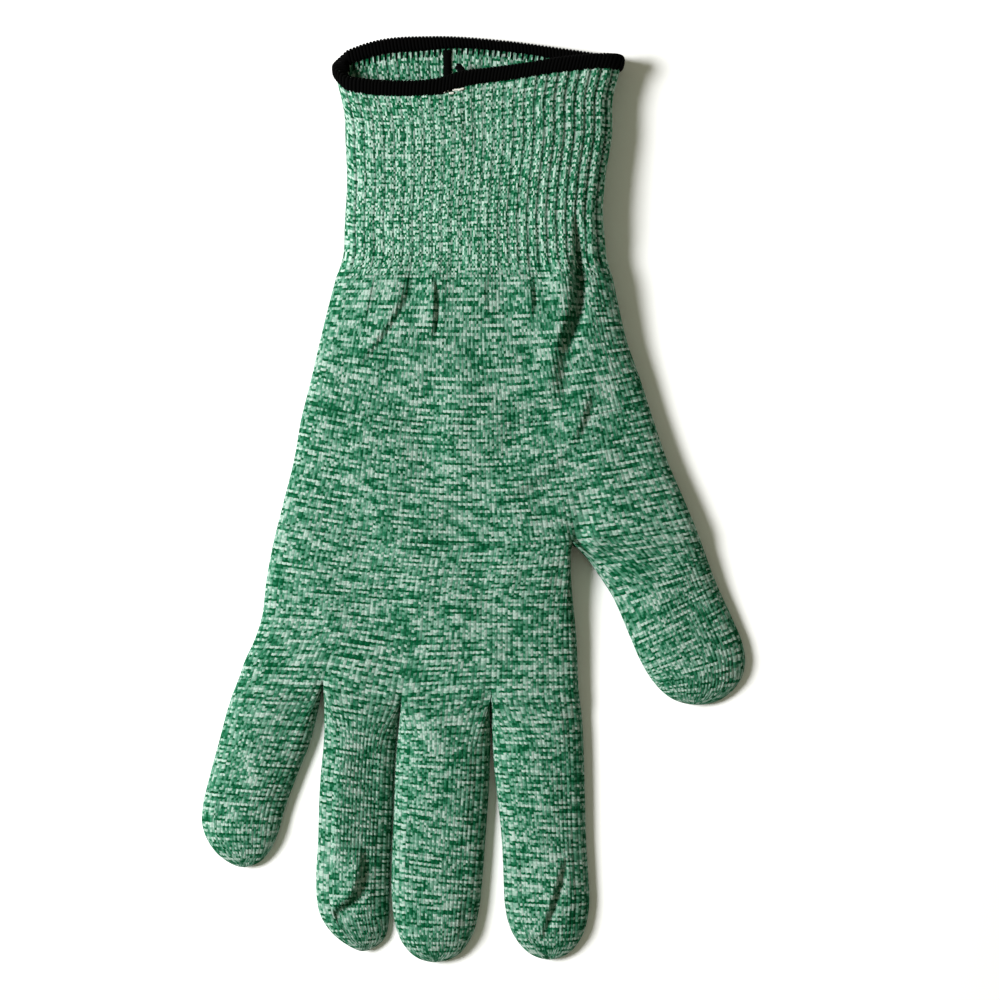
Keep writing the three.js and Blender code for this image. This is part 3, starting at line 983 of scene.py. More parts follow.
    def _steer_to_crotches(self, rings: Rings) -> None:
        """Moves the upper palm's last rings so that columns reach the fingers' crotches.

        Args:
            rings: the upper palm.
        """
        stops = self._finger_stops()
        places = [LITTLE_SIDE + (SIDE_ROUNDING, 0), LITTLE_CROTCH, RING_CROTCH, MIDDLE_CROTCH,
                  INDEX_SIDE - (SIDE_ROUNDING, 0)]
        columns = np.arange(rings.top + 1)
        target = np.stack([np.interp(columns, stops, [p[i] for p in places]) for i in range(2)], axis=1)
        points = self.fabric.points
        rows = rings.ids.shape[0]
        near = ease((np.arange(rows) / (rows - 1) - STEER_FROM) / (1 - STEER_FROM))
        near[0] = 0.0
        under = [rings.under(column) for column in columns]
        for layer in (columns, np.array(under)):
            off = target - points[rings.ids[-1, layer], :2]
            for row in range(1, rows):
                points[rings.ids[row, layer], :2] += near[row] * off
        for column, crotch in zip(stops[1:-1], places[1:-1]):
            self._dip(rings, column, crotch)

    @staticmethod
    def _finger_stops() -> list[int]:
        """Returns the palm's columns at which one finger ends and the next begins."""
        return [0, *np.cumsum([FINGER_COLUMNS[name] for name in ("little", "ring", "middle", "index")])]

    def _fingers(self) -> None:
        """Adds the four fingers, each sharing a crotch's line with the one before it."""
        palm = self.rings["upper_palm"]
        last = palm.ids.shape[0] - 1
        stops = self._finger_stops()
        left_side = palm.left_side(last)
        for i, name in enumerate(("little", "ring", "middle", "index")):
            end = stops[i + 1]
            is_last = end == palm.top
            high, low = palm.ids[last, end], palm.ids[last, palm.under(end)]
            right_side = palm.right_side(last) if is_last else web(self.fabric, high, low)
            start = palm.across(last, stops[i], end, right_side, left_side)
            self._digit(name, start, FINGER_COLUMNS[name], palm.courses[-1], stops[i])
            left_side = right_side[::-1]

    def _fold(self) -> None:
        """Lays the folds into the upper layer, away from the rolled side edges."""
        for rings in self.rings.values():
            across = np.abs(np.linspace(-1, 1, rings.top + 1))
            weight = ease((1.0 - across) / FOLDLESS_SIDE)
            self.fabric.upper[rings.ids[1:, : rings.top + 1]] = weight[None]
        first = self.rings["lower_palm"]
        self.fabric.upper[first.ids[0, : first.top + 1]] = self.fabric.upper[first.ids[1, : first.top + 1]]
        for name in ("upper_palm", "thumb", *FINGER_COLUMNS):
            self._carry_weight(self.rings[name])
        x, y = self.fabric.points[:, 0], self.fabric.points[:, 1]
        chosen = self.fabric.upper > 0
        height = np.zeros(len(x))
        height[chosen] = fold_height(x[chosen], y[chosen])
        self.fabric.points[:, 2] += height * self.fabric.upper

    def _carry_weight(self, child: Rings) -> None:
        """Lets the folds' strength change over a tube's root from the palm's to the tube's own."""
        upper = self.fabric.upper
        start = upper[child.ids[0, : child.top + 1]]
        rows = min(int(ROOT / ROW), child.ids.shape[0] - 1)
        for row in range(1, rows):
            share = ease(np.array(row / rows))
            own = upper[child.ids[row, : child.top + 1]]
            upper[child.ids[row, : child.top + 1]] = start * (1 - share) + own * share

    def _knit(self) -> None:
        """Works out the normals, then raises the wales and the cuff's ribs along them."""
        parts = list(self.rings.values())
        quads = np.vstack([r.faces(np.arange(r.ids.shape[0]), 1, False)[0] for r in parts])
        fans = np.vstack([r.fan() for r in parts if r.pole is not None])
        self.fabric.face_forward(quads, fans)
        for name, rings in self.rings.items():
            relief = rib_relief(rings) if name == "cuff" else plain_relief(rings)
            self.fabric.relief[rings.ids[1:]] = relief[1:]
            if name == "lower_palm":
                self.fabric.relief[rings.ids[0]] = relief[0]

    def outer(self) -> Array:
        """Returns the outer face's points."""
        return self.fabric.points + self.fabric.normals * self.fabric.relief[:, None]

    def inner(self, depth: float = 1.0) -> Array:
        """Returns points at a share of the wall's thickness below the outer face."""
        return self.fabric.points - self.fabric.normals * (self.fabric.wall * depth)[:, None]


WALE_HEIGHT = 0.1
WALES_GONE, WALES_FULL = 0.7, 0.95  # a tip has no wales below the first width, and full ones from the second
RIB_HEIGHT = (0.32, 0.75)  # where the cuff lies smooth, and at its right where it is gathered
RIB_GATHERING = (0.5, 0.85)  # the ribs grow between these shares of the way across the cuff
RIB_ROUNDNESS = 0.7  # 1 makes even waves, and less makes wide ribs with narrow grooves
RIB_START_ROWS = 8.0  # the plain knit turns into ribs over this many rows
RIB_SHARE = 0.66  # how much of a rib's height is above the fabric's middle


def plain_relief(rings: Rings) -> Array:
    """Returns the height of the plain knit's wales on each vertex."""
    wale = np.cos(2 * math.pi * (rings.wales[:, :-1] - 1 / WALE))
    fade = ease((rings.narrowing - WALES_GONE) / (WALES_FULL - WALES_GONE))[:, None]
    return fade * WALE_HEIGHT * wale


def rib_relief(rings: Rings) -> Array:
    """Returns the height of the cuff's ribs on each vertex: round ribs with narrow grooves between them."""
    rows, columns = rings.ids.shape
    share = np.arange(columns) * RIBS / columns
    rib = np.abs(np.sin(math.pi * share)) ** RIB_ROUNDNESS - RIB_SHARE
    across = np.interp(np.arange(columns), [0, rings.top, rings.top + SIDE, columns], [0, 1, 1, 0])
    gathered = ease((across - RIB_GATHERING[0]) / (RIB_GATHERING[1] - RIB_GATHERING[0]))
    height = RIB_HEIGHT[0] + (RIB_HEIGHT[1] - RIB_HEIGHT[0]) * gathered
    rise = ease(np.arange(rows) / RIB_START_ROWS)[:, None]
    return plain_relief(rings) * (1 - rise) + rise * (height * rib)[None]


# Meshes -----------------------------------------------------------------------


@dataclass
class Faces:
    """Polygons with equally many corners, their knit coordinates, and whether they are shaded smooth."""

    corners: Array
    knit: Array
    smooth: bool = True


def build_mesh(name: str, points: Array, groups: Iterable[Faces]) -> Piece:
    """Makes a mesh object from numbered points and groups of polygons, leaving unused points out.

    Args:
        name: the piece's name.
        points: places in millimetres.
        groups: the polygons.

    Returns:
        The object, in the scene.
    """
    groups = [group for group in groups if len(group.corners)]
    used, renumbered = np.unique(np.concatenate([g.corners.ravel() for g in groups]), return_inverse=True)
    mesh = bpy.data.meshes.new(name)
    mesh.vertices.add(len(used))
    mesh.vertices.foreach_set("co", (points[used] * MM).astype(np.float32).ravel())
    mesh.loops.add(len(renumbered))
    mesh.loops.foreach_set("vertex_index", renumbered.astype(np.int32))
    sides = np.concatenate([np.full(len(g.corners), g.corners.shape[1]) for g in groups])
    mesh.polygons.add(len(sides))
    starts = np.concatenate([[0], np.cumsum(sides)[:-1]])
    mesh.polygons.foreach_set("loop_start", starts.astype(np.int32))
    smooth = np.concatenate([np.full(len(g.corners), g.smooth) for g in groups])
    mesh.polygons.foreach_set("use_smooth", smooth)
    knit = np.concatenate([g.knit.reshape(-1, 2) for g in groups])
    mesh.uv_layers.new(name="knit").data.foreach_set("uv", knit.astype(np.float32).ravel())
    mesh.update(calc_edges=True)
    if mesh.validate():
        LOG.warning("%s: the mesh had to be repaired", name)
    piece = bpy.data.objects.new(name, mesh)
    bpy.context.scene.collection.objects.link(piece)
    LOG.info("%s: %d vertices, %d faces", name, len(used), len(sides))
    return piece


class Span(NamedTuple):
    """Some rings of a tube that belong to a piece, and which of its ends are open edges of the piece."""

    tube: str
    first: int
    last: int
    open_first: bool
    open_last: bool


def shell(glove: GloveFabric, name: str, spans: Sequence[Span], inner_columns: int = WALE,
          inner_rows: int = INNER_ROWS) -> Piece:
    """Makes a piece of fabric as a closed shell: its outer face, its inner face, and the rims between them.

    Args:
        glove: the whole fabric.
        name: the piece's name.
        spans: the rings that the piece is made of.
        inner_columns, inner_rows: how many columns and rows one face of the inner side spans.

    Returns:
        The piece.
    """
    outer, inner = glove.outer(), glove.inner()
    deep = len(outer)  # numbers from here on are the inner face's
    points = np.vstack([outer, inner])
    groups: list[Faces] = []
    for span in spans:
        rings = glove.rings[span.tube]
        groups.append(Faces(*rings.faces(np.arange(span.first, span.last + 1), 1, False)))
        end = span.last
        if rings.pole is not None and not span.open_last:
            end = _last_hollow_row(glove, rings, inner_rows, span.last)
        rows = np.arange(span.first, end + 1, inner_rows)
        quads, knit = rings.faces(rows, inner_columns, True)
        groups.append(Faces(quads + deep, knit))
        if rings.pole is not None and not span.open_last:
            groups += _tip_faces(rings, rows[-1], inner_columns, deep)
            pole = points[deep + rings.ids[rows[-1]]].mean(axis=0)
            points[deep + rings.pole] = pole
        for row, is_open, ahead in ((span.first, span.open_first, False), (span.last, span.open_last, True)):
            if is_open:
                groups.append(_rim(rings, row, inner_columns, deep, ahead != rings.upwards))
    return build_mesh(name, points, groups)


HOLLOW_HEIGHT, HOLLOW_WIDTH = 2.9 * PLAIN_WALL, 9.0  # a tip lower or narrower than this is solid


def _last_hollow_row(glove: GloveFabric, rings: Rings, step: int, last: int) -> int:
    """Returns the last row, in steps, where the tube is still taller than its two walls."""
    heights = np.ptp(glove.fabric.points[rings.ids][..., 2], axis=1)
    widths = np.ptp(glove.fabric.points[rings.ids][..., 0], axis=1)
    roomy = np.nonzero((heights > HOLLOW_HEIGHT) & (widths > HOLLOW_WIDTH))[0]
    return min(last, int(roomy.max())) // step * step


def _tip_faces(rings: Rings, inner_row: int, step: int, deep: int) -> list[Faces]:
    """Closes a fingertip.

    Args:
        rings: the finger.
        inner_row: the ring that the inner face ends at.
        step: how many columns each inner face spans.
        deep: what is added to a vertex's number for the inner face.

    Returns:
        The triangles outside and inside.
    """
    fan = rings.fan()
    wales = rings.wales[-1]
    course = float(rings.courses[-1])
    knit = np.stack([wales[:-1], (wales[:-1] + wales[1:]) / 2, wales[1:]], axis=1)
    knit = np.stack([knit, np.full(knit.shape, course)], axis=-1)
    ring = rings.ids[inner_row, ::step] + deep
    pole = np.full(len(ring), rings.pole + deep)
    inner = np.stack([ring, np.roll(ring, -1), pole], axis=1)
    return [Faces(fan, knit), Faces(inner, knit[::step])]


def _rim(rings: Rings, row: int, step: int, deep: int, ahead: bool) -> Faces:
    """Joins the outer and inner faces at an open edge.

    Args:
        rings: the tube.
        row: the ring at the edge.
        step: how many columns each inner face spans.
        deep: what is added to a vertex's number for the inner face.
        ahead: whether the edge is at the tube's far end.

    Returns:
        The rim's faces.
    """
    columns = np.arange(0, rings.columns, step)
    after = (columns + step) % rings.columns
    backwards = [rings.ids[row, (columns + i) % rings.columns] for i in range(step, 0, -1)]
    corners = np.stack(
        [rings.ids[row, columns], rings.ids[row, columns] + deep, rings.ids[row, after] + deep, *backwards],
        axis=1,
    )
    wale = np.stack([rings.wales[row, columns + i] for i in (0, 0, step, *range(step, 0, -1))], axis=1)
    down = np.array([0, 1, 1] + [0] * step)[None] * 0.9
    knit = np.stack(np.broadcast_arrays(wale, rings.courses[row] + down), axis=-1)
    if not ahead:
        corners, knit = corners[:, ::-1], knit[:, ::-1]
    return Faces(corners, knit, smooth=False)


def swept(route: Array, across: Array, up: Array, section: Array,
          closed: bool) -> tuple[Array, list[Faces]]:
    """Sweeps a section along a route.

    Args:
        route: points of the route.
        across, up: the two directions of the section at each point of the route.
        section: the section's corners, one set for all points or one for each, along across and up.
        closed: whether the route ends where it starts.

    Returns:
        Its points and faces.
    """
    section = np.broadcast_to(section, (len(route), *section.shape[-2:]))
    points = route[:, None] + section[..., :1] * across[:, None] + section[..., 1:] * up[:, None]
    rows, sides = points.shape[:2]
    ids = np.arange(rows * sides).reshape(rows, sides)
    ids = np.vstack([ids, ids[:1]]) if closed else ids
    grid = np.hstack([ids, ids[:, :1]])
    corners = np.stack([grid[:-1, :-1], grid[:-1, 1:], grid[1:, 1:], grid[1:, :-1]], axis=-1).reshape(-1, 4)
    along = np.arange(grid.shape[0])[:, None] * 0.5
    round_it = np.arange(grid.shape[1])[None] / sides
    knit = np.stack(np.broadcast_arrays(round_it, along), axis=-1)
    knit = np.stack([knit[:-1, :-1], knit[:-1, 1:], knit[1:, 1:], knit[1:, :-1]], axis=-2).reshape(-1, 4, 2)
    groups = [Faces(corners, knit)]
    if not closed:
        flat = np.zeros((1, sides, 2))
        groups += [Faces(ids[:1, ::-1], flat, False), Faces(ids[-1:], flat, False)]
    return points.reshape(-1, 3), groups


def directions(route: Array, closed: bool) -> Array:
    """Returns the direction of travel at each point of a route."""
    if closed:
        ahead = np.roll(route, -1, axis=0) - np.roll(route, 1, axis=0)
    else:
        ahead = np.gradient(route, axis=0)
    return ahead / np.linalg.norm(ahead, axis=1)[:, None]


def frame_along(route: Array, upright: Array, closed: bool) -> tuple[Array, Array]:
    """Works out the two directions of a section along a route.

    Args:
        route: points of the route.
        upright: the way that the second direction leans.
        closed: whether the route ends where it starts.

    Returns:
        The direction across the route at each point, and the one up from it.
    """
    ahead = directions(route, closed)
    up = upright - ahead * (ahead @ upright)[:, None]
    up /= np.linalg.norm(up, axis=1)[:, None]
    return np.cross(ahead, up), up


SLANTED_UP = np.array([0.31, 0.17, 0.93])  # none of the threads runs this way


def thread(route: Array, radius: float, closed: bool, sides: int = 6) -> tuple[Array, list[Faces]]:
    """Makes a round thread along a route that may bend any way.

    Args:
        route: points along its middle.
        radius: its radius.
        closed: whether the route ends where it starts.
        sides: how many sides it has.

    Returns:
        Its points and faces.
    """
    across, up = frame_along(route, SLANTED_UP, closed)
    turn = np.linspace(0, 2 * math.pi, sides, endpoint=False)
    section = radius * np.stack([np.cos(turn), np.sin(turn)], axis=1)
    return swept(route, across, up, section, closed)


# The cuff's bound edge and its elastic ----------------------------------------


class Bundle:
    """Threads and bands that are put together in one mesh."""

    def __init__(self) -> None:
        """Starts with nothing in the mesh."""
        self.points: list[Array] = []
        self.groups: list[Faces] = []
        self.count = 0

    def add(self, points: Array, groups: Sequence[Faces]) -> None:
        """Adds a thread or a band, with its faces numbered from its own first point."""
        self.points.append(points)
        self.groups += [Faces(g.corners + self.count, g.knit, g.smooth) for g in groups]
        self.count += len(points)

    def mesh(self, name: str) -> Piece:
        """Makes the mesh object, with alike polygons together."""
        kinds: dict[tuple[int, bool], list[Faces]] = {}
        for group in self.groups:
            kinds.setdefault((group.corners.shape[1], group.smooth), []).append(group)
        alike = [
            Faces(np.vstack([g.corners for g in kind]), np.vstack([g.knit for g in kind]), smooth)
            for (_, smooth), kind in kinds.items()
        ]
        return build_mesh(name, np.vstack(self.points), alike)


class MouthEdge:
    """The line round the cuff's mouth that its binding follows, with the fabric's directions there."""

    ROWS_BELOW = 12  # the fabric's upward direction is taken over its last rows

    def __init__(self, glove: GloveFabric) -> None:
        """Works out the line, its directions and its length from the cuff's last rows.

        Args:
            glove: the whole fabric.
        """
        cuff = glove.rings["cuff"]
        points = glove.inner(0.5)
        edge, below = points[cuff.ids[-1]], points[cuff.ids[-1 - self.ROWS_BELOW]]
        up = edge - below
        self.up = up / np.linalg.norm(up, axis=1)[:, None]
        self.route = edge - self.up * BINDING_BELOW_EDGE
        out = np.cross(directions(self.route, True), self.up)
        facing = glove.fabric.normals[cuff.ids[-1]]
        out *= np.sign((out * facing).sum(axis=1))[:, None]
        self.out = out / np.linalg.norm(out, axis=1)[:, None]
        steps = np.linalg.norm(np.roll(self.route, -1, axis=0) - self.route, axis=1)
        self.travel = np.concatenate([[0.0], np.cumsum(steps)])
        self.length = float(self.travel[-1])

    def at(self, travel: Array, values: Array) -> Array:
        """Returns the vectors of the edge's points at distances along the edge."""
        ring = np.vstack([values, values[:1]])
        travel = np.mod(travel, self.length)
        return np.stack([np.interp(travel, self.travel, ring[:, i]) for i in range(3)], axis=-1)

    def travel_to(self, x: float) -> float:
        """Returns how far along the edge its front layer passes a place in X."""
        front = self.route[: len(self.route) // 2 - SIDE, 0]
        return float(self.travel[int(np.argmin(np.abs(front - x)))])


BINDING_SQUARENESS = 0.62  # 1 is an ellipse, 0 a rectangle
CHAIN_TWIST = 2.6  # mm of chain for one turn of its strands


def binding_section(out: float, half_height: float, turn: Array) -> Array:
    """Works out the rounded outline of the binding, across the fabric and along it.

    Args:
        out: how far it reaches from the fabric's middle.
        half_height: how far it reaches up and down the fabric.
        turn: angles round the outline.

    Returns:
        One point for each angle.
    """
    across = out * np.sign(np.cos(turn)) * np.abs(np.cos(turn)) ** BINDING_SQUARENESS
    along = half_height * np.sign(np.sin(turn)) * np.abs(np.sin(turn)) ** BINDING_SQUARENESS
    return np.stack([across, along], axis=-1)


@dataclass(frozen=True)
class Tail:
    """An end of the overlock's thread chain.

    Args:
        name: the piece's name.
        node: the CAD node that it stands for.
        route: points along its middle.
        radius: how far its strands are from its middle.
    """

    name: str
    node: str
    route: tuple
    radius: float

    def build(self) -> Piece:
        """Makes three strands twisted round the tail's middle.

        Returns:
            The piece.
        """
        at = np.linspace(0, 1, 40)
        centre = Curve.through(*self.route)(at)
        length = np.linalg.norm(np.diff(centre, axis=0), axis=1).sum()
        across, up = frame_along(centre, np.array([0.0, 0.1, 1.0]), False)
        bundle = Bundle()
        for strand in range(3):
            turn = 2 * math.pi * (strand / 3 + at * length / CHAIN_TWIST)
            path = centre + self.radius * (np.cos(turn)[:, None] * across + np.sin(turn)[:, None] * up)
            bundle.add(*thread(path, self.radius * 0.95, False, sides=8))
        return bundle.mesh(self.name)


class YarnEnd(NamedTuple):
    """An end of yarn below the binding: where it starts and how it lies, seen from the binding's lap."""

    start: float
    down: float
    length: float
    slope: float


@dataclass
class BoundEdge:
    """The overlocked edge of the cuff: a core band, the threads wound round it, and the ends left at its lap.

    Args:
        shop: what it is made from.
        half_height: how far it reaches up and down the fabric.
        proud: how far it stands out of the fabric.
        wrap_pitch, wrap_radius: the distance between threads wound round it, and their thickness.
        wrap_lean: how far such a thread leans along the edge, in shares of that distance.
        leg_pitch, leg_radius: the same of the stitches that reach down inside the rib.
        leg_ups: how far above the band's lower edge each of a stitch's points is.
        leg_depths: how far inside the rib's inner face it is.
        lap_x: where the edge's round closes and laps over itself, on the front.
        lap_step, lap_ramp: how far the lap steps up the fabric, and over what distance.
        lap_reach: how far along the edge the step dies away.
        lap_swell, lap_width: how much wider the edge is at the lap, and over what distance.
        back_slim, back_x, back_width: how much lower the back's middle is, where, and over what distance.
        yarn_radius, yarn_proud: the yarn ends' thickness, and how far out of the fabric they lie.
        tails, yarn_ends: the ends of chain and of yarn.
    """

    shop: "Workshop"
    half_height: float = 1.9
    proud: float = 0.8
    wrap_pitch: float = 0.95
    wrap_radius: float = 0.42
    wrap_lean: float = 0.42
    leg_pitch: float = 1.5
    leg_radius: float = 0.24
    leg_ups: tuple[float, ...] = (0.5, -0.9, -1.9)
    leg_depths: tuple[float, ...] = (0.25, 0.18, -0.1)
    lap_x: float = -6.0
    lap_step: float = 0.55
    lap_ramp: float = 2.5
    lap_reach: float = 22.0
    lap_swell: float = 0.14
    lap_width: float = 5.0
    back_slim: float = 0.34
    back_x: float = 8.0
    back_width: float = 19.0
    yarn_radius: float = 0.3
    yarn_proud: float = 0.35
    tails: tuple[Tail, ...] = (
        Tail("overlock_chain_back", "overlock_tail_back",
             ((-7.2, 121.4, 3.2), (-7.1, 118.0, 2.9), (-7.2, 114.0, 3.0), (-7.8, 109.0, 3.2)), 0.62),
        Tail("overlock_chain_front", "overlock_tail_front",
             ((-2.6, 112.6, 8.2), (-2.8, 114.8, 7.6), (-4.2, 116.9, 6.4)), 0.55),
    )
    yarn_ends: tuple[YarnEnd, ...] = (
        YarnEnd(-1.9, -2.3, 1.5, 0.4), YarnEnd(0.6, -2.0, 2.6, -0.35),
        YarnEnd(2.2, -2.35, 1.6, 0.2), YarnEnd(-0.4, -2.75, 1.4, -0.1),
    )

    def __post_init__(self) -> None:
        """Works out the edge's line, and its height and place on the fabric at each point."""
        self.edge = edge = MouthEdge(self.shop.cloth)
        self.reach = RIB_WALL / 2 + self.proud
        self.lap = edge.travel_to(self.lap_x)
        from_lap = edge.travel[:-1] - self.lap
        step = self.lap_step * np.tanh(from_lap / self.lap_ramp)
        step *= np.exp(-((from_lap / self.lap_reach) ** 2))
        on_back = np.arange(len(edge.route)) >= len(edge.route) // 2
        behind = np.exp(-(((edge.route[:, 0] - self.back_x) / self.back_width) ** 4))
        self.height = 1.0 - self.back_slim * on_back * behind
        self.rise = step + (1.0 - self.height) * self.half_height

    def build(self) -> None:
        """Makes the edge, its two chain tails and the ends of yarn at its lap."""
        self.shop.settle(self._binding(), Finish.OVERLOCK, ["cuff_binding"], "cuff")
        for tail in self.tails:
            self.shop.settle(tail.build(), Finish.OVERLOCK, [tail.node], "cuff")
        self.shop.settle(self._yarn_ends(), Finish.ELASTIC, [], "cuff")

    def _swell(self, travel: Array) -> Array:
        """Returns how much wider than usual the edge is at distances along it."""
        return 1.0 + self.lap_swell * np.exp(-(((travel - self.lap) / self.lap_width) ** 2))

    def _along(self, travel: Array, values: Array) -> Array:
        """Returns the numbers of the edge's points at distances along the edge."""
        return np.interp(travel % self.edge.length, self.edge.travel[:-1], values)

    def _binding(self) -> Piece:
        """Makes the core band, the threads wound round it, and the stitches inside the rib.

        Returns:
            The piece.
        """
        edge, bundle = self.edge, Bundle()
        turn = np.linspace(0, 2 * math.pi, 20, endpoint=False)
        section = binding_section(self.reach, self.half_height, turn)[None]
        section = section * self._swell(edge.travel[:-1])[:, None, None]
        section = section * np.stack([np.ones_like(self.height), self.height], axis=-1)[:, None]
        route = edge.route + edge.up * self.rise[:, None]
        bundle.add(*swept(route[::2], edge.out[::2], edge.up[::2], section[::2], True))
        count = round(edge.length / self.wrap_pitch)
        for i in range(count):
            bundle.add(*thread(self._wrap(i * edge.length / count), self.wrap_radius, True))
        for travel in np.arange(0, edge.length, self.leg_pitch):
            bundle.add(*thread(self._leg(travel), self.leg_radius, False, sides=5))
        return bundle.mesh("cuff_binding_stitches")

    def _wrap(self, start: float) -> Array:
        """Works out the route of a thread wound once round the band.

        Args:
            start: how far along the edge it is.

        Returns:
            Points along its middle.
        """
        edge = self.edge
        loop = np.linspace(0, 2 * math.pi, 18, endpoint=False)
        travel = start + self.wrap_lean * self.wrap_pitch * np.sin(loop - 0.6)
        local = binding_section(self.reach, self.half_height, loop) * self._swell(start)
        local[:, 1] = local[:, 1] * self._along(travel, self.height) + self._along(travel, self.rise)
        return (
            edge.at(travel, edge.route)
            + edge.at(travel, edge.out) * local[:, :1]
            + edge.at(travel, edge.up) * local[:, 1:]
        )

    def _leg(self, travel: float) -> Array:
        """Returns the route of a stitch down the inside of the rib, at a distance along the edge."""
        edge = self.edge
        spots = np.full(len(self.leg_ups), travel)
        up = self._along(travel, self.rise - self.half_height * self.height) + np.array(self.leg_ups)
        depth = RIB_WALL / 2 + np.array(self.leg_depths)
        path = edge.at(spots, edge.route) - edge.at(spots, edge.out) * depth[:, None]
        return path + edge.at(spots, edge.up) * up[:, None]

    def _yarn_ends(self) -> Piece:
        """Makes the pale ends of yarn that show below the binding at its lap."""
        edge, bundle = self.edge, Bundle()
        share = np.linspace(0, 1, 6)
        for end in self.yarn_ends:
            travel = self.lap + end.start + share * end.length
            out = edge.at(travel, edge.out) * (RIB_WALL / 2 + self.yarn_proud)
            path = edge.at(travel, edge.route) + out
            path += edge.at(travel, edge.up) * (end.down + end.slope * share)[:, None]
            bundle.add(*thread(path, self.yarn_radius, False))
        return bundle.mesh("seam_yarn_ends")


@dataclass
class Cuff:
    """The ribbed cuff, with the elastic thread laid into its fabric.

    Args:
        shop: what it is made from.
        bend: how far above the wrist the fabric bends.
        face_span: how many columns and rows a face of the cuff's inner side spans.
        elastic_turns: how often the elastic thread goes round.
        elastic_radius: its thickness.
        elastic_depth: how deep it lies in the fabric, in shares of the wall.
        mouth_y: how far up the arm the cuff's rows end.
    """

    shop: "Workshop"
    bend: float = 20.0
    face_span: int = 2
    elastic_turns: int = 9
    elastic_radius: float = 0.3
    elastic_depth: float = 0.55
    mouth_y: float = 118.0

    def build(self) -> None:
        """Makes the cuff and its elastic thread, both settled with the same bend at the wrist."""
        rings = self.shop.cloth.rings["cuff"]
        bend = Bend("palm", "cuff", (0, WRIST_Y), (0, WRIST_Y + self.bend))
        span = Span("cuff", 0, len(rings.ids) - 1, True, True)
        cuff = shell(self.shop.cloth, "ribbed_cuff", [span], self.face_span, self.face_span)
        self.shop.settle(cuff, Finish.RIB_KNIT, ["cuff"], "cuff", bend)
        self.shop.settle(self._elastic(rings), Finish.ELASTIC, ["cuff_elastic_thread"], "cuff", bend)

    def _elastic(self, rings: Rings) -> Piece:
        """Makes the elastic thread: one helix inside the fabric, over the length of its CAD node.

        Args:
            rings: the cuff.

        Returns:
            The piece.
        """
        middle = self.shop.cloth.inner(self.elastic_depth)[rings.ids]
        rows = len(rings.ids) - 1
        low, high = (
            (corner.y / MM - WRIST_Y) / (self.mouth_y - WRIST_Y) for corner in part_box("cuff_elastic_thread"))
        steps = np.arange(0, self.elastic_turns * rings.columns, 4)
        row = (high + (low - high) * steps / steps[-1]) * rows
        below = np.floor(row).astype(int)
        share = (row - below)[:, None]
        column = steps % rings.columns
        path = middle[below, column] * (1 - share) + middle[below + 1, column] * share
        bundle = Bundle()
        bundle.add(*thread(path, self.elastic_radius, False))
        return bundle.mesh("cuff_elastic")


# Finishes ---------------------------------------------------------------------


@dataclass(frozen=True)
class KnitFinish:
    """How a knit looks.

    Args:
        slot: its material slot.
        run: how many wales a run of one colour covers.
        streaks, stitches, beat: weights of the runs, the single stitches and the beat of every third row.
        gap_shade: how dark the painted shade in the gaps between stitches is, from 0 to 1.
        shade: how bright the yarn looks, where the plain knit's is 1.
    """

    slot: str
    run: float
    streaks: float
    stitches: float
    beat: float
    gap_shade: float
    shade: float


@dataclass(frozen=True)
class ThreadFinish:
    """How a plain spun thread looks.

    Args:
        slot: its material slot.
        colour: its colour.
        roughness: how matt it is.
    """

    slot: str
    colour: tuple[float, float, float]
    roughness: float


class Finish(Enum):
    """The finishes of the glove's pieces."""

    PLAIN_KNIT = KnitFinish(
        "plain_knit", run=11.0, streaks=1.9, stitches=0.62, beat=0.13, gap_shade=0.5, shade=1.0)
    RIB_KNIT = KnitFinish(
        "rib_knit", run=3.5, streaks=0.8, stitches=0.95, beat=0.12, gap_shade=0.4, shade=1.18)
    OVERLOCK = ThreadFinish("overlock_thread", (0.0012, 0.0012, 0.0012), 0.95)
    ELASTIC = ThreadFinish("elastic_thread", (0.62, 0.62, 0.56), 0.8)


# The yarn's colours from its darkest to its palest, and how far along the scale of the yarn each one is.
YARN = (
    (0.16, (0.0005, 0.066, 0.023)),
    (0.34, (0.018, 0.138, 0.070)),
    (0.50, (0.073, 0.217, 0.142)),
    (0.66, (0.160, 0.304, 0.232)),
    (0.86, (0.332, 0.448, 0.389)),
)
RIB_GROOVE_SHADE = (0.42, 0.58)  # how dark the painted shade in the rib grooves is where the cuff lies smooth, and where it is gathered
RIB_GATHERS = (0.6, 0.82)  # the cuff gathers between these shares of its upper layer, from the left
WRIST_COURSES = (-4.0, 3.0)  # the rib knit turns into the plain knit between these courses


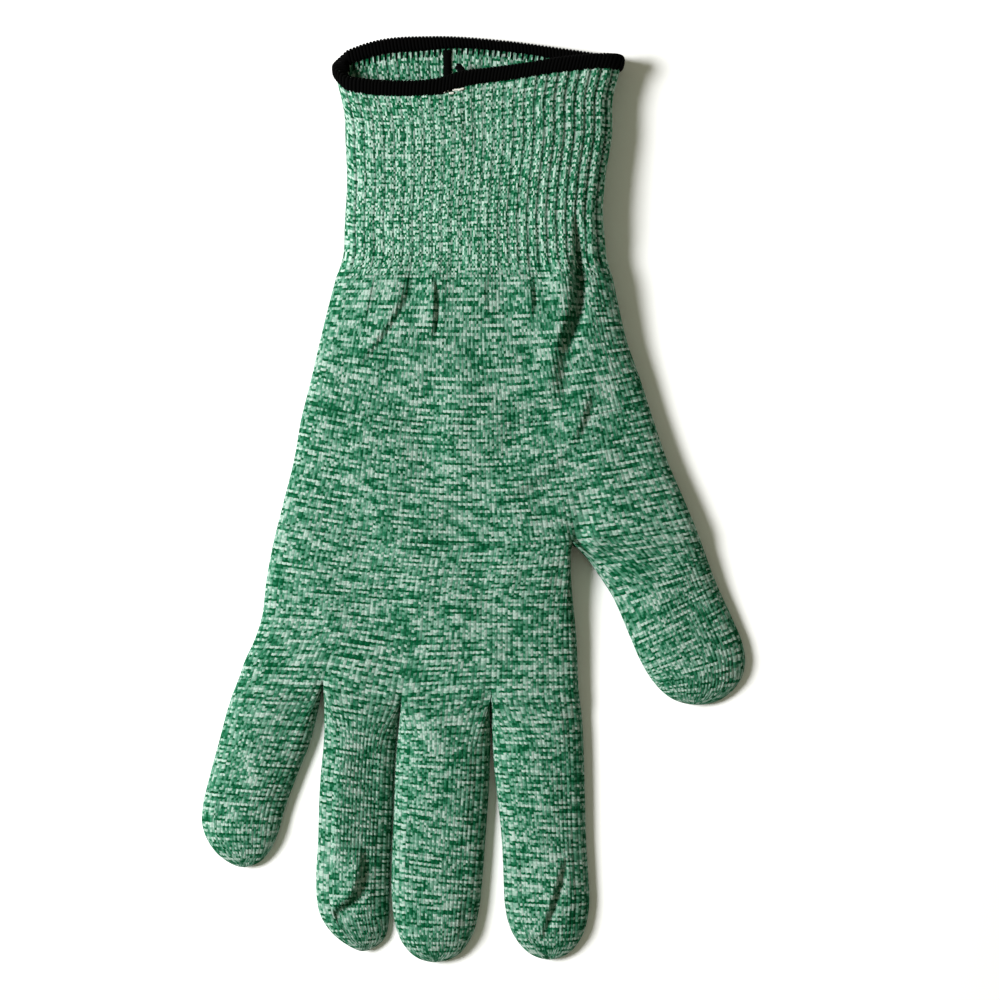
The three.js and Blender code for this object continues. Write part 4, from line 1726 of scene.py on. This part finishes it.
class Graph:
    """A node tree with short calls that add nodes and link them."""

    def __init__(self, tree: bpy.types.NodeTree) -> None:
        """Keeps the tree that nodes are added to."""
        self.tree = tree

    def node(self, kind: str, inputs: Optional[dict] = None, **settings: object) -> bpy.types.Node:
        """Adds a node.

        Args:
            kind: the node's type.
            inputs: a socket or a value for its inputs, by name or number.
            settings: its own settings.

        Returns:
            The node.
        """
        node = self.tree.nodes.new(kind)
        for key, value in settings.items():
            setattr(node, key, value)
        for key, value in (inputs or {}).items():
            if isinstance(value, Socket):
                self.tree.links.new(value, node.inputs[key])
            else:
                node.inputs[key].default_value = value
        return node

    def math(self, operation: str, *values: Value) -> Socket:
        """Adds a sum of one to three numbers and returns its result."""
        return self.node("ShaderNodeMath", dict(enumerate(values)), operation=operation).outputs[0]

    def combine(self, x: Value, y: Value, z: Value = 0.0) -> Socket:
        """Adds a node that makes a vector of three numbers and returns it."""
        return self.node("ShaderNodeCombineXYZ", {0: x, 1: y, 2: z}).outputs[0]

    def split(self, vector: Socket) -> tuple[Socket, Socket]:
        """Adds a node that splits a vector and returns its first two numbers."""
        outputs = self.node("ShaderNodeSeparateXYZ", {0: vector}).outputs
        return outputs[0], outputs[1]

    def ramp(self, value: Value, before: float, after: float, low: Value, high: Value) -> Socket:
        """Adds a straight change from low to high, as a value goes from before to after, and returns it."""
        return self.node("ShaderNodeMapRange", {0: value, 1: before, 2: after, 3: low, 4: high}).outputs[0]

    def texture(self, kind: str, **inputs: Value) -> Socket:
        """Adds a flat texture and returns how far it is above or below its middle."""
        value = self.node(kind, inputs, noise_dimensions="2D").outputs[0]
        return self.math("SUBTRACT", value, 0.5)


def new_group(name: str, inputs: dict[str, tuple], output: tuple[str, str]) -> tuple:
    """Makes an empty node group.

    Args:
        name: the group's name.
        inputs: a (socket type, default or None) pair for each input's name.
        output: the name and socket type of its only output.

    Returns:
        The group, its graph, its input node, and the socket that its result is linked to.
    """
    group = bpy.data.node_groups.new(name, "ShaderNodeTree")
    for label, (kind, default) in inputs.items():
        socket = group.interface.new_socket(label, in_out="INPUT", socket_type=kind)
        if default is not None:
            socket.default_value = default
    group.interface.new_socket(output[0], in_out="OUTPUT", socket_type=output[1])
    graph = Graph(group)
    given, made = graph.node("NodeGroupInput"), graph.node("NodeGroupOutput")
    return group, graph, given, made.inputs[output[0]]


def stitch_group() -> bpy.types.NodeTree:
    """Makes the group that turns knit coordinates into the height of the knitted loops.

    Each wale holds two legs that lean towards each other, so a course shows as a row of small V shapes.

    Returns:
        The group.
    """
    group, graph, given, result = new_group(
        "Stitches", {"Knit": ("NodeSocketVector", None)}, ("Height", "NodeSocketFloat"))
    wale, course = graph.split(given.outputs["Knit"])
    across = graph.math("FRACT", wale)
    from_middle = graph.math("ABSOLUTE", graph.math("SUBTRACT", across, 0.5))
    leg = graph.math("POWER", graph.math("SINE", graph.math("MULTIPLY", across, math.pi)), 0.7)
    leg = graph.math("MULTIPLY", leg, graph.ramp(from_middle, 0.0, 0.12, 0.72, 1.0))
    along = graph.math("ADD", course, graph.math("MULTIPLY", from_middle, 0.9))
    loop = graph.math("SINE", graph.math("MULTIPLY", graph.math("FRACT", along), math.pi))
    loop = graph.math("POWER", loop, 0.5)
    height = graph.math("MULTIPLY", leg, graph.math("MULTIPLY_ADD", loop, 0.5, 0.5))
    graph.tree.links.new(height, result)
    return group


def heather_group() -> bpy.types.NodeTree:
    """Makes the group that colours the knit as heathered yarn: short runs of colour along each course.

    Its inputs say how many wales a run covers, and how much the runs, the single stitches and the beat of
    every third row weigh.

    Returns:
        The group.
    """
    number = "NodeSocketFloat"
    group, graph, given, result = new_group(
        "Heather",
        {
            "Knit": ("NodeSocketVector", None),
            "Run": (number, 7.0),
            "Streaks": (number, 1.0),
            "Stitches": (number, 0.3),
            "Beat": (number, 0.1),
        },
        ("Color", "NodeSocketColor"),
    )
    wale, course = graph.split(given.outputs["Knit"])
    from_middle = graph.math("ABSOLUTE", graph.math("SUBTRACT", graph.math("FRACT", wale), 0.5))
    rows = graph.math("MULTIPLY", graph.math("MULTIPLY_ADD", from_middle, 0.3, course), 1.5)
    row = graph.math("FLOOR", rows)
    leg = graph.math("FLOOR", graph.math("MULTIPLY", wale, 2.0))
    run = graph.combine(
        graph.math("MULTIPLY_ADD", row, 17.31, graph.math("DIVIDE", wale, given.outputs["Run"])),
        graph.math("MULTIPLY", row, 5.77),
    )
    streak = graph.texture("ShaderNodeTexNoise", Vector=run, Scale=2.0, Detail=2.0, Roughness=0.75)
    streak = graph.math("MULTIPLY", streak, given.outputs["Streaks"])
    stitch = graph.texture("ShaderNodeTexWhiteNoise", Vector=graph.combine(leg, row))
    stitch = graph.math("MULTIPLY", stitch, given.outputs["Stitches"])
    beat = graph.math("COSINE", graph.math("MULTIPLY", row, 2 * math.pi / 3))
    value = graph.math("MULTIPLY_ADD", beat, given.outputs["Beat"], graph.math("ADD", streak, stitch))
    ramp = graph.node("ShaderNodeValToRGB", {0: graph.math("ADD", value, 0.5)})
    stops = ramp.color_ramp.elements
    while len(stops) < len(YARN):
        stops.new(0.5)
    for stop, (place, colour) in zip(stops, YARN):
        stop.position = place
        stop.color = (*colour, 1.0)
    graph.tree.links.new(ramp.outputs[0], result)
    return group


def new_material(name: str) -> tuple[bpy.types.Material, Graph, bpy.types.Node]:
    """Makes a material and returns it with its graph and its Principled shader."""
    material = bpy.data.materials.new(name)
    material.use_nodes = True
    return material, Graph(material.node_tree), material.node_tree.nodes["Principled BSDF"]


class Wardrobe:
    """The glove's materials, with the node groups that its knits share."""

    def __init__(self) -> None:
        """Makes the node groups and a material for every finish."""
        self.stitches = stitch_group()
        self.heather = heather_group()
        self.materials = {finish: self._make(finish.value) for finish in Finish}

    def _make(self, finish: KnitFinish | ThreadFinish) -> bpy.types.Material:
        """Makes a finish's material."""
        return self._knit(finish) if isinstance(finish, KnitFinish) else self._thread(finish)

    def _knit(self, finish: KnitFinish) -> bpy.types.Material:
        """Makes a heathered knit, with painted shade in the gaps between its stitches and in the grooves
        between the cuff's ribs.

        The rib knit turns into the plain knit at the wrist, where the courses are numbered from 0.

        Args:
            finish: which knit it is, which decides how long the runs of colour are.

        Returns:
            The material.
        """
        rib_knit, plain_knit = Finish.RIB_KNIT.value, Finish.PLAIN_KNIT.value
        material, graph, shader = new_material(finish.slot)
        knit = graph.node("ShaderNodeUVMap", uv_map="knit").outputs[0]
        wale, course = graph.split(knit)
        plain = graph.ramp(course, *WRIST_COURSES, 0.0, 1.0)
        blended = {
            name: graph.ramp(plain, 0.0, 1.0, getattr(rib_knit, name), getattr(plain_knit, name))
            for name in ("streaks", "stitches", "beat", "gap_shade", "shade")
        }
        stitches = graph.node("ShaderNodeGroup", {"Knit": knit}, node_tree=self.stitches).outputs["Height"]
        heather = graph.node("ShaderNodeGroup", {
            "Knit": knit,
            "Run": finish.run,
            "Streaks": blended["streaks"],
            "Stitches": blended["stitches"],
            "Beat": blended["beat"],
        }, node_tree=self.heather).outputs["Color"]
        # Painted shade: the colour is darkened where the stitches are low, in the gaps between them.
        stitch_gap_shade = graph.math("MULTIPLY", blended["gap_shade"], graph.ramp(stitches, 0.0, 0.75, 1.0, 0.0))
        lit = graph.math("MULTIPLY", graph.math("SUBTRACT", 1.0, stitch_gap_shade), blended["shade"])
        # Painted shade: the colour is darkened in the grooves between the cuff's ribs, more where the cuff is
        # gathered, and not in the plain knit.
        rib = graph.math("SINE", graph.math("MULTIPLY", wale, math.pi * WALE * RIBS / RING_COLUMNS))
        top = (sum(FINGER_COLUMNS.values()) + THUMB_COLUMNS) / WALE
        gathered = graph.ramp(wale, RIB_GATHERS[0] * top, RIB_GATHERS[1] * top, *RIB_GROOVE_SHADE)
        depth = graph.ramp(plain, 0.0, 1.0, gathered, 0.0)
        groove = graph.ramp(graph.math("ABSOLUTE", rib), 0.05, 0.65, 1.0, 0.0)
        lit = graph.math("MULTIPLY", lit, graph.math("SUBTRACT", 1.0, graph.math("MULTIPLY", depth, groove)))
        colour = graph.node(
            "ShaderNodeMix", {0: 1.0, 6: heather, 7: graph.combine(lit, lit, lit)},
            data_type="RGBA", blend_type="MULTIPLY").outputs[2]
        bump = graph.node("ShaderNodeBump", {"Strength": 0.6, "Distance": 0.25 * MM, "Height": stitches})
        graph.tree.links.new(colour, shader.inputs["Base Color"])
        graph.tree.links.new(bump.outputs[0], shader.inputs["Normal"])
        shader.inputs["Roughness"].default_value = 0.92
        shader.inputs["Specular IOR Level"].default_value = 0.05
        return material

    @staticmethod
    def _thread(finish: ThreadFinish) -> bpy.types.Material:
        """Makes a plain spun thread with fine fibres.

        Args:
            finish: which thread it is.

        Returns:
            The material.
        """
        material, graph, shader = new_material(finish.slot)
        place = graph.node("ShaderNodeNewGeometry").outputs["Position"]
        fibres = graph.node("ShaderNodeTexNoise", {"Vector": place, "Scale": 2600.0, "Detail": 2.0})
        bump = graph.node(
            "ShaderNodeBump", {"Strength": 0.5, "Distance": 0.08 * MM, "Height": fibres.outputs[0]})
        graph.tree.links.new(bump.outputs[0], shader.inputs["Normal"])
        shader.inputs["Base Color"].default_value = (*finish.colour, 1.0)
        shader.inputs["Roughness"].default_value = finish.roughness
        shader.inputs["Specular IOR Level"].default_value = 0.03
        return material


# The palm, the thumb and the fingers ------------------------------------------


@dataclass(frozen=True)
class Bend:
    """Two bodies that a piece bends between, and the places in plan where it starts and ends bending."""

    before: str
    after: str
    start: tuple[float, float]
    end: tuple[float, float]


class Workshop:
    """What every part of the glove is made from: its fabric, its materials, and how it follows the frame."""

    def __init__(self) -> None:
        """Makes the materials and the fabric."""
        self.materials = Wardrobe().materials
        self.cloth = GloveFabric()

    def settle(self, piece: Piece, finish: Finish, nodes: Sequence[str], body: str,
               bend: Optional[Bend] = None) -> None:
        """Gives a piece its finish, hides its CAD nodes, and parents it to its body, or leaves it unparented
        when it has a bend.

        Args:
            piece: the piece.
            finish: its finish.
            nodes: the CAD nodes that it stands for.
            body: the body that it is parented to, when it has no bend.
            bend: when given, the piece is taken off its body and left where it is.
        """
        piece.data.materials.append(self.materials[finish])
        if nodes:
            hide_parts(*nodes)
        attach(piece, body)
        if bend:
            piece.parent = None
            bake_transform(piece)

    def row_at(self, name: str, y: float) -> int:
        """Returns the last inner row of a finger whose whole ring is still above a place in Y."""
        lowest = self.cloth.fabric.points[self.cloth.rings[name].ids][..., 1].min(axis=1)
        row = int(np.nonzero(lowest >= y)[0].max())
        return max(INNER_ROWS, row // INNER_ROWS * INNER_ROWS)


@dataclass
class ThumbRootBend:
    """Where the fabric at the thumb's root starts and ends bending, in mm from its crotch down the thumb."""

    start: float = 0.5
    end: float = 14.0

    @property
    def bend(self) -> Bend:
        """The bend between the palm and the thumb."""
        start, end = (THUMB_CROTCH + THUMB_DOWN * down for down in (self.start, self.end))
        return Bend("palm", "thumb_base", tuple(start), tuple(end))


@dataclass
class Palm:
    """The palm, in three pieces: its heel, the part with the thumb's gusset, and the part over four fingers.

    Args:
        shop: what it is made from.
        root: how the gusset bends with the thumb.
    """

    shop: Workshop
    root: ThumbRootBend

    def build(self) -> None:
        """Makes the three pieces; the last one holds the fingers' fabric down to their knuckles."""
        cloth, settle = self.shop.cloth, self.shop.settle
        rows = len(cloth.rings["lower_palm"].ids) - 1
        half = INNER_ROWS * round(rows / 2 / INNER_ROWS)
        heel = shell(cloth, "palm_heel", [Span("lower_palm", 0, half, True, True)])
        settle(heel, Finish.PLAIN_KNIT, ["lower_palm"], "palm")
        gusset = shell(cloth, "thumb_gusset", [Span("lower_palm", half, rows, True, True)])
        settle(gusset, Finish.PLAIN_KNIT, ["lower_palm"], "palm", self.root.bend)
        spans = [Span("upper_palm", 0, len(cloth.rings["upper_palm"].ids) - 1, True, False)]
        for name in FINGER_COLUMNS:
            spans.append(Span(name, 0, self.shop.row_at(name, KNUCKLE_Y), False, True))
        settle(shell(cloth, "four_finger_palm", spans), Finish.PLAIN_KNIT, ["upper_palm"], "palm")


@dataclass
class Thumb:
    """The thumb, in two pieces.

    Args:
        shop: what it is made from.
        root: how its root bends with the palm.
        fold_above, fold_below: how far from its joint its end starts and stops bending.
    """

    shop: Workshop
    root: ThumbRootBend
    fold_above: float = 6.0
    fold_below: float = 7.0

    def build(self) -> None:
        """Makes the root and the end, parted at the first row that is wholly below the root's bend."""
        cloth, rings = self.shop.cloth, self.shop.cloth.rings["thumb"]
        down = (cloth.fabric.points[rings.ids][..., :2] - THUMB_CROTCH) @ THUMB_DOWN
        first = int(np.nonzero(down.min(axis=1) >= self.root.end)[0].min())
        split = math.ceil(first / INNER_ROWS) * INNER_ROWS
        root = shell(cloth, "thumb_root", [Span("thumb", 0, split, True, True)])
        self.shop.settle(root, Finish.PLAIN_KNIT, ["thumb_base"], "thumb_base", self.root.bend)
        end = shell(cloth, "thumb_end", [Span("thumb", split, len(rings.ids) - 1, True, False)])
        fold = (joint_place("thumb_joint_fold")[:2] - THUMB_CROTCH) @ THUMB_DOWN
        reach = (max(float(down[split].max()), fold - self.fold_above), fold + self.fold_below)
        ends = [tuple(THUMB_CROTCH + THUMB_DOWN * side) for side in reach]
        self.shop.settle(end, Finish.PLAIN_KNIT, ["thumb_tip"], "thumb_tip",
                         Bend("thumb_base", "thumb_tip", *ends))


@dataclass
class Finger:
    """A finger below its knuckle, in the three pieces between its folds.

    Args:
        shop: what it is made from.
        name: which finger it is.
        knuckle_bend: how far below the knuckle its fabric bends.
        fold_share: how much of that its fabric bends on each side of its other two folds.
    """

    shop: Workshop
    name: str
    knuckle_bend: float
    fold_share: float = 0.42

    def build(self) -> None:
        """Makes the base, the middle and the tip, each parted from the one before it where a fold starts."""
        name, half = self.name, self.knuckle_bend * self.fold_share
        folds = [float(joint_place(f"{name}_{joint}_fold")[1]) for joint in ("middle_joint", "end_joint")]
        reaches = [(KNUCKLE_Y, KNUCKLE_Y - self.knuckle_bend)]
        reaches += [(fold + half, fold - half) for fold in folds]
        bodies = ["palm", f"{name}_base", f"{name}_middle", f"{name}_tip"]
        rows = [self.shop.row_at(name, start) for start, _ in reaches]
        rows.append(len(self.shop.cloth.rings[name].ids) - 1)
        for i, (start, end) in enumerate(reaches):
            part = ("base", "middle", "tip")[i]
            span = Span(name, rows[i], rows[i + 1], True, part != "tip")
            piece = shell(self.shop.cloth, f"{name}_{part}_fabric", [span])
            bend = Bend(bodies[i], bodies[i + 1], (0, start), (0, end))
            self.shop.settle(piece, Finish.PLAIN_KNIT, [f"{name}_finger_{part}"], bodies[i + 1], bend)


# How far below its knuckle each finger's fabric bends, in millimetres.
KNUCKLE_BENDS = {"little": 8.5, "ring": 14.0, "middle": 14.0, "index": 14.0}


# The table, the light and the camera ------------------------------------------


@dataclass(frozen=True)
class Studio:
    """The table, the light and the camera, in metres.

    Args:
        table_size, table_depth: the table's side, and how far it lies below the glove.
        light_place, light_size, light_energy: the soft light on the left.
        around, around_strength: the colour and strength of the light from all round.
        view_width, lens, sensor: how much the camera sees at the height of the glove's outline.
        outline_height: that height.
        aside: how far the camera stands from above the glove's middle.
    """

    table_size: float = 9.0
    table_depth: float = 0.0003
    light_place: tuple[float, float, float] = (-0.76, 0.10, 0.72)
    light_size: float = 0.44
    light_energy: float = 20.0
    around: tuple[float, float, float] = (1.0, 0.99, 0.72)
    around_strength: float = 0.23
    view_width: float = 0.270
    lens: float = 90.0
    sensor: float = 36.0
    outline_height: float = 0.004
    aside: tuple[float, float] = (0.0073, 0.0003)

    def set_up_camera(self) -> None:
        """Makes the camera, straight above the glove."""
        bpy.context.scene.view_settings.view_transform = "Standard"
        middle = (CAD_BOX[0] + CAD_BOX[1]) / 2
        data = bpy.data.cameras.new("camera")
        data.lens = self.lens
        data.sensor_width = self.sensor
        camera = bpy.data.objects.new("camera", data)
        height = self.outline_height + self.view_width * self.lens / self.sensor
        camera.location = (middle.x + self.aside[0], middle.y + self.aside[1], height)
        bpy.context.scene.collection.objects.link(camera)
        bpy.context.scene.camera = camera

    def set_up_table(self) -> None:
        """Makes the pale surface that the glove lies on."""
        bpy.ops.mesh.primitive_plane_add(size=self.table_size, location=(0, 0, -self.table_depth))
        table = bpy.context.object
        table.name = "table"
        material, _, shader = new_material("table")
        shader.inputs["Base Color"].default_value = (0.96, 0.96, 0.96, 1)
        shader.inputs["Roughness"].default_value = 0.9
        shader.inputs["Specular IOR Level"].default_value = 0.1
        table.data.materials.append(material)

    def set_up_light(self) -> None:
        """Makes a soft light from the left, and a weak, slightly warm light from all round."""
        bpy.ops.object.light_add(type="AREA", location=self.light_place)
        key = bpy.context.object
        key.data.shape = "DISK"
        key.data.size = self.light_size
        key.data.energy = self.light_energy
        key.rotation_euler = (-key.location).to_track_quat("-Z", "Y").to_euler()
        world = bpy.context.scene.world or bpy.data.worlds.new("surroundings")
        bpy.context.scene.world = world
        world.use_nodes = True
        background = world.node_tree.nodes["Background"]
        background.inputs[0].default_value = (*self.around, 1)
        background.inputs[1].default_value = self.around_strength


def main() -> None:
    """Builds the glove on its table, one part after another."""
    logging.basicConfig(level=logging.INFO, format="%(message)s")
    studio = Studio()
    studio.set_up_camera()
    shop = Workshop()
    root = ThumbRootBend()
    fingers = (Finger(shop, name, reach) for name, reach in KNUCKLE_BENDS.items())
    for part in (Cuff(shop), BoundEdge(shop), Palm(shop, root), Thumb(shop, root), *fingers):
        LOG.info("%s", type(part).__name__)
        part.build()
    studio.set_up_table()
    studio.set_up_light()


if __name__ == "__main__":
    main()
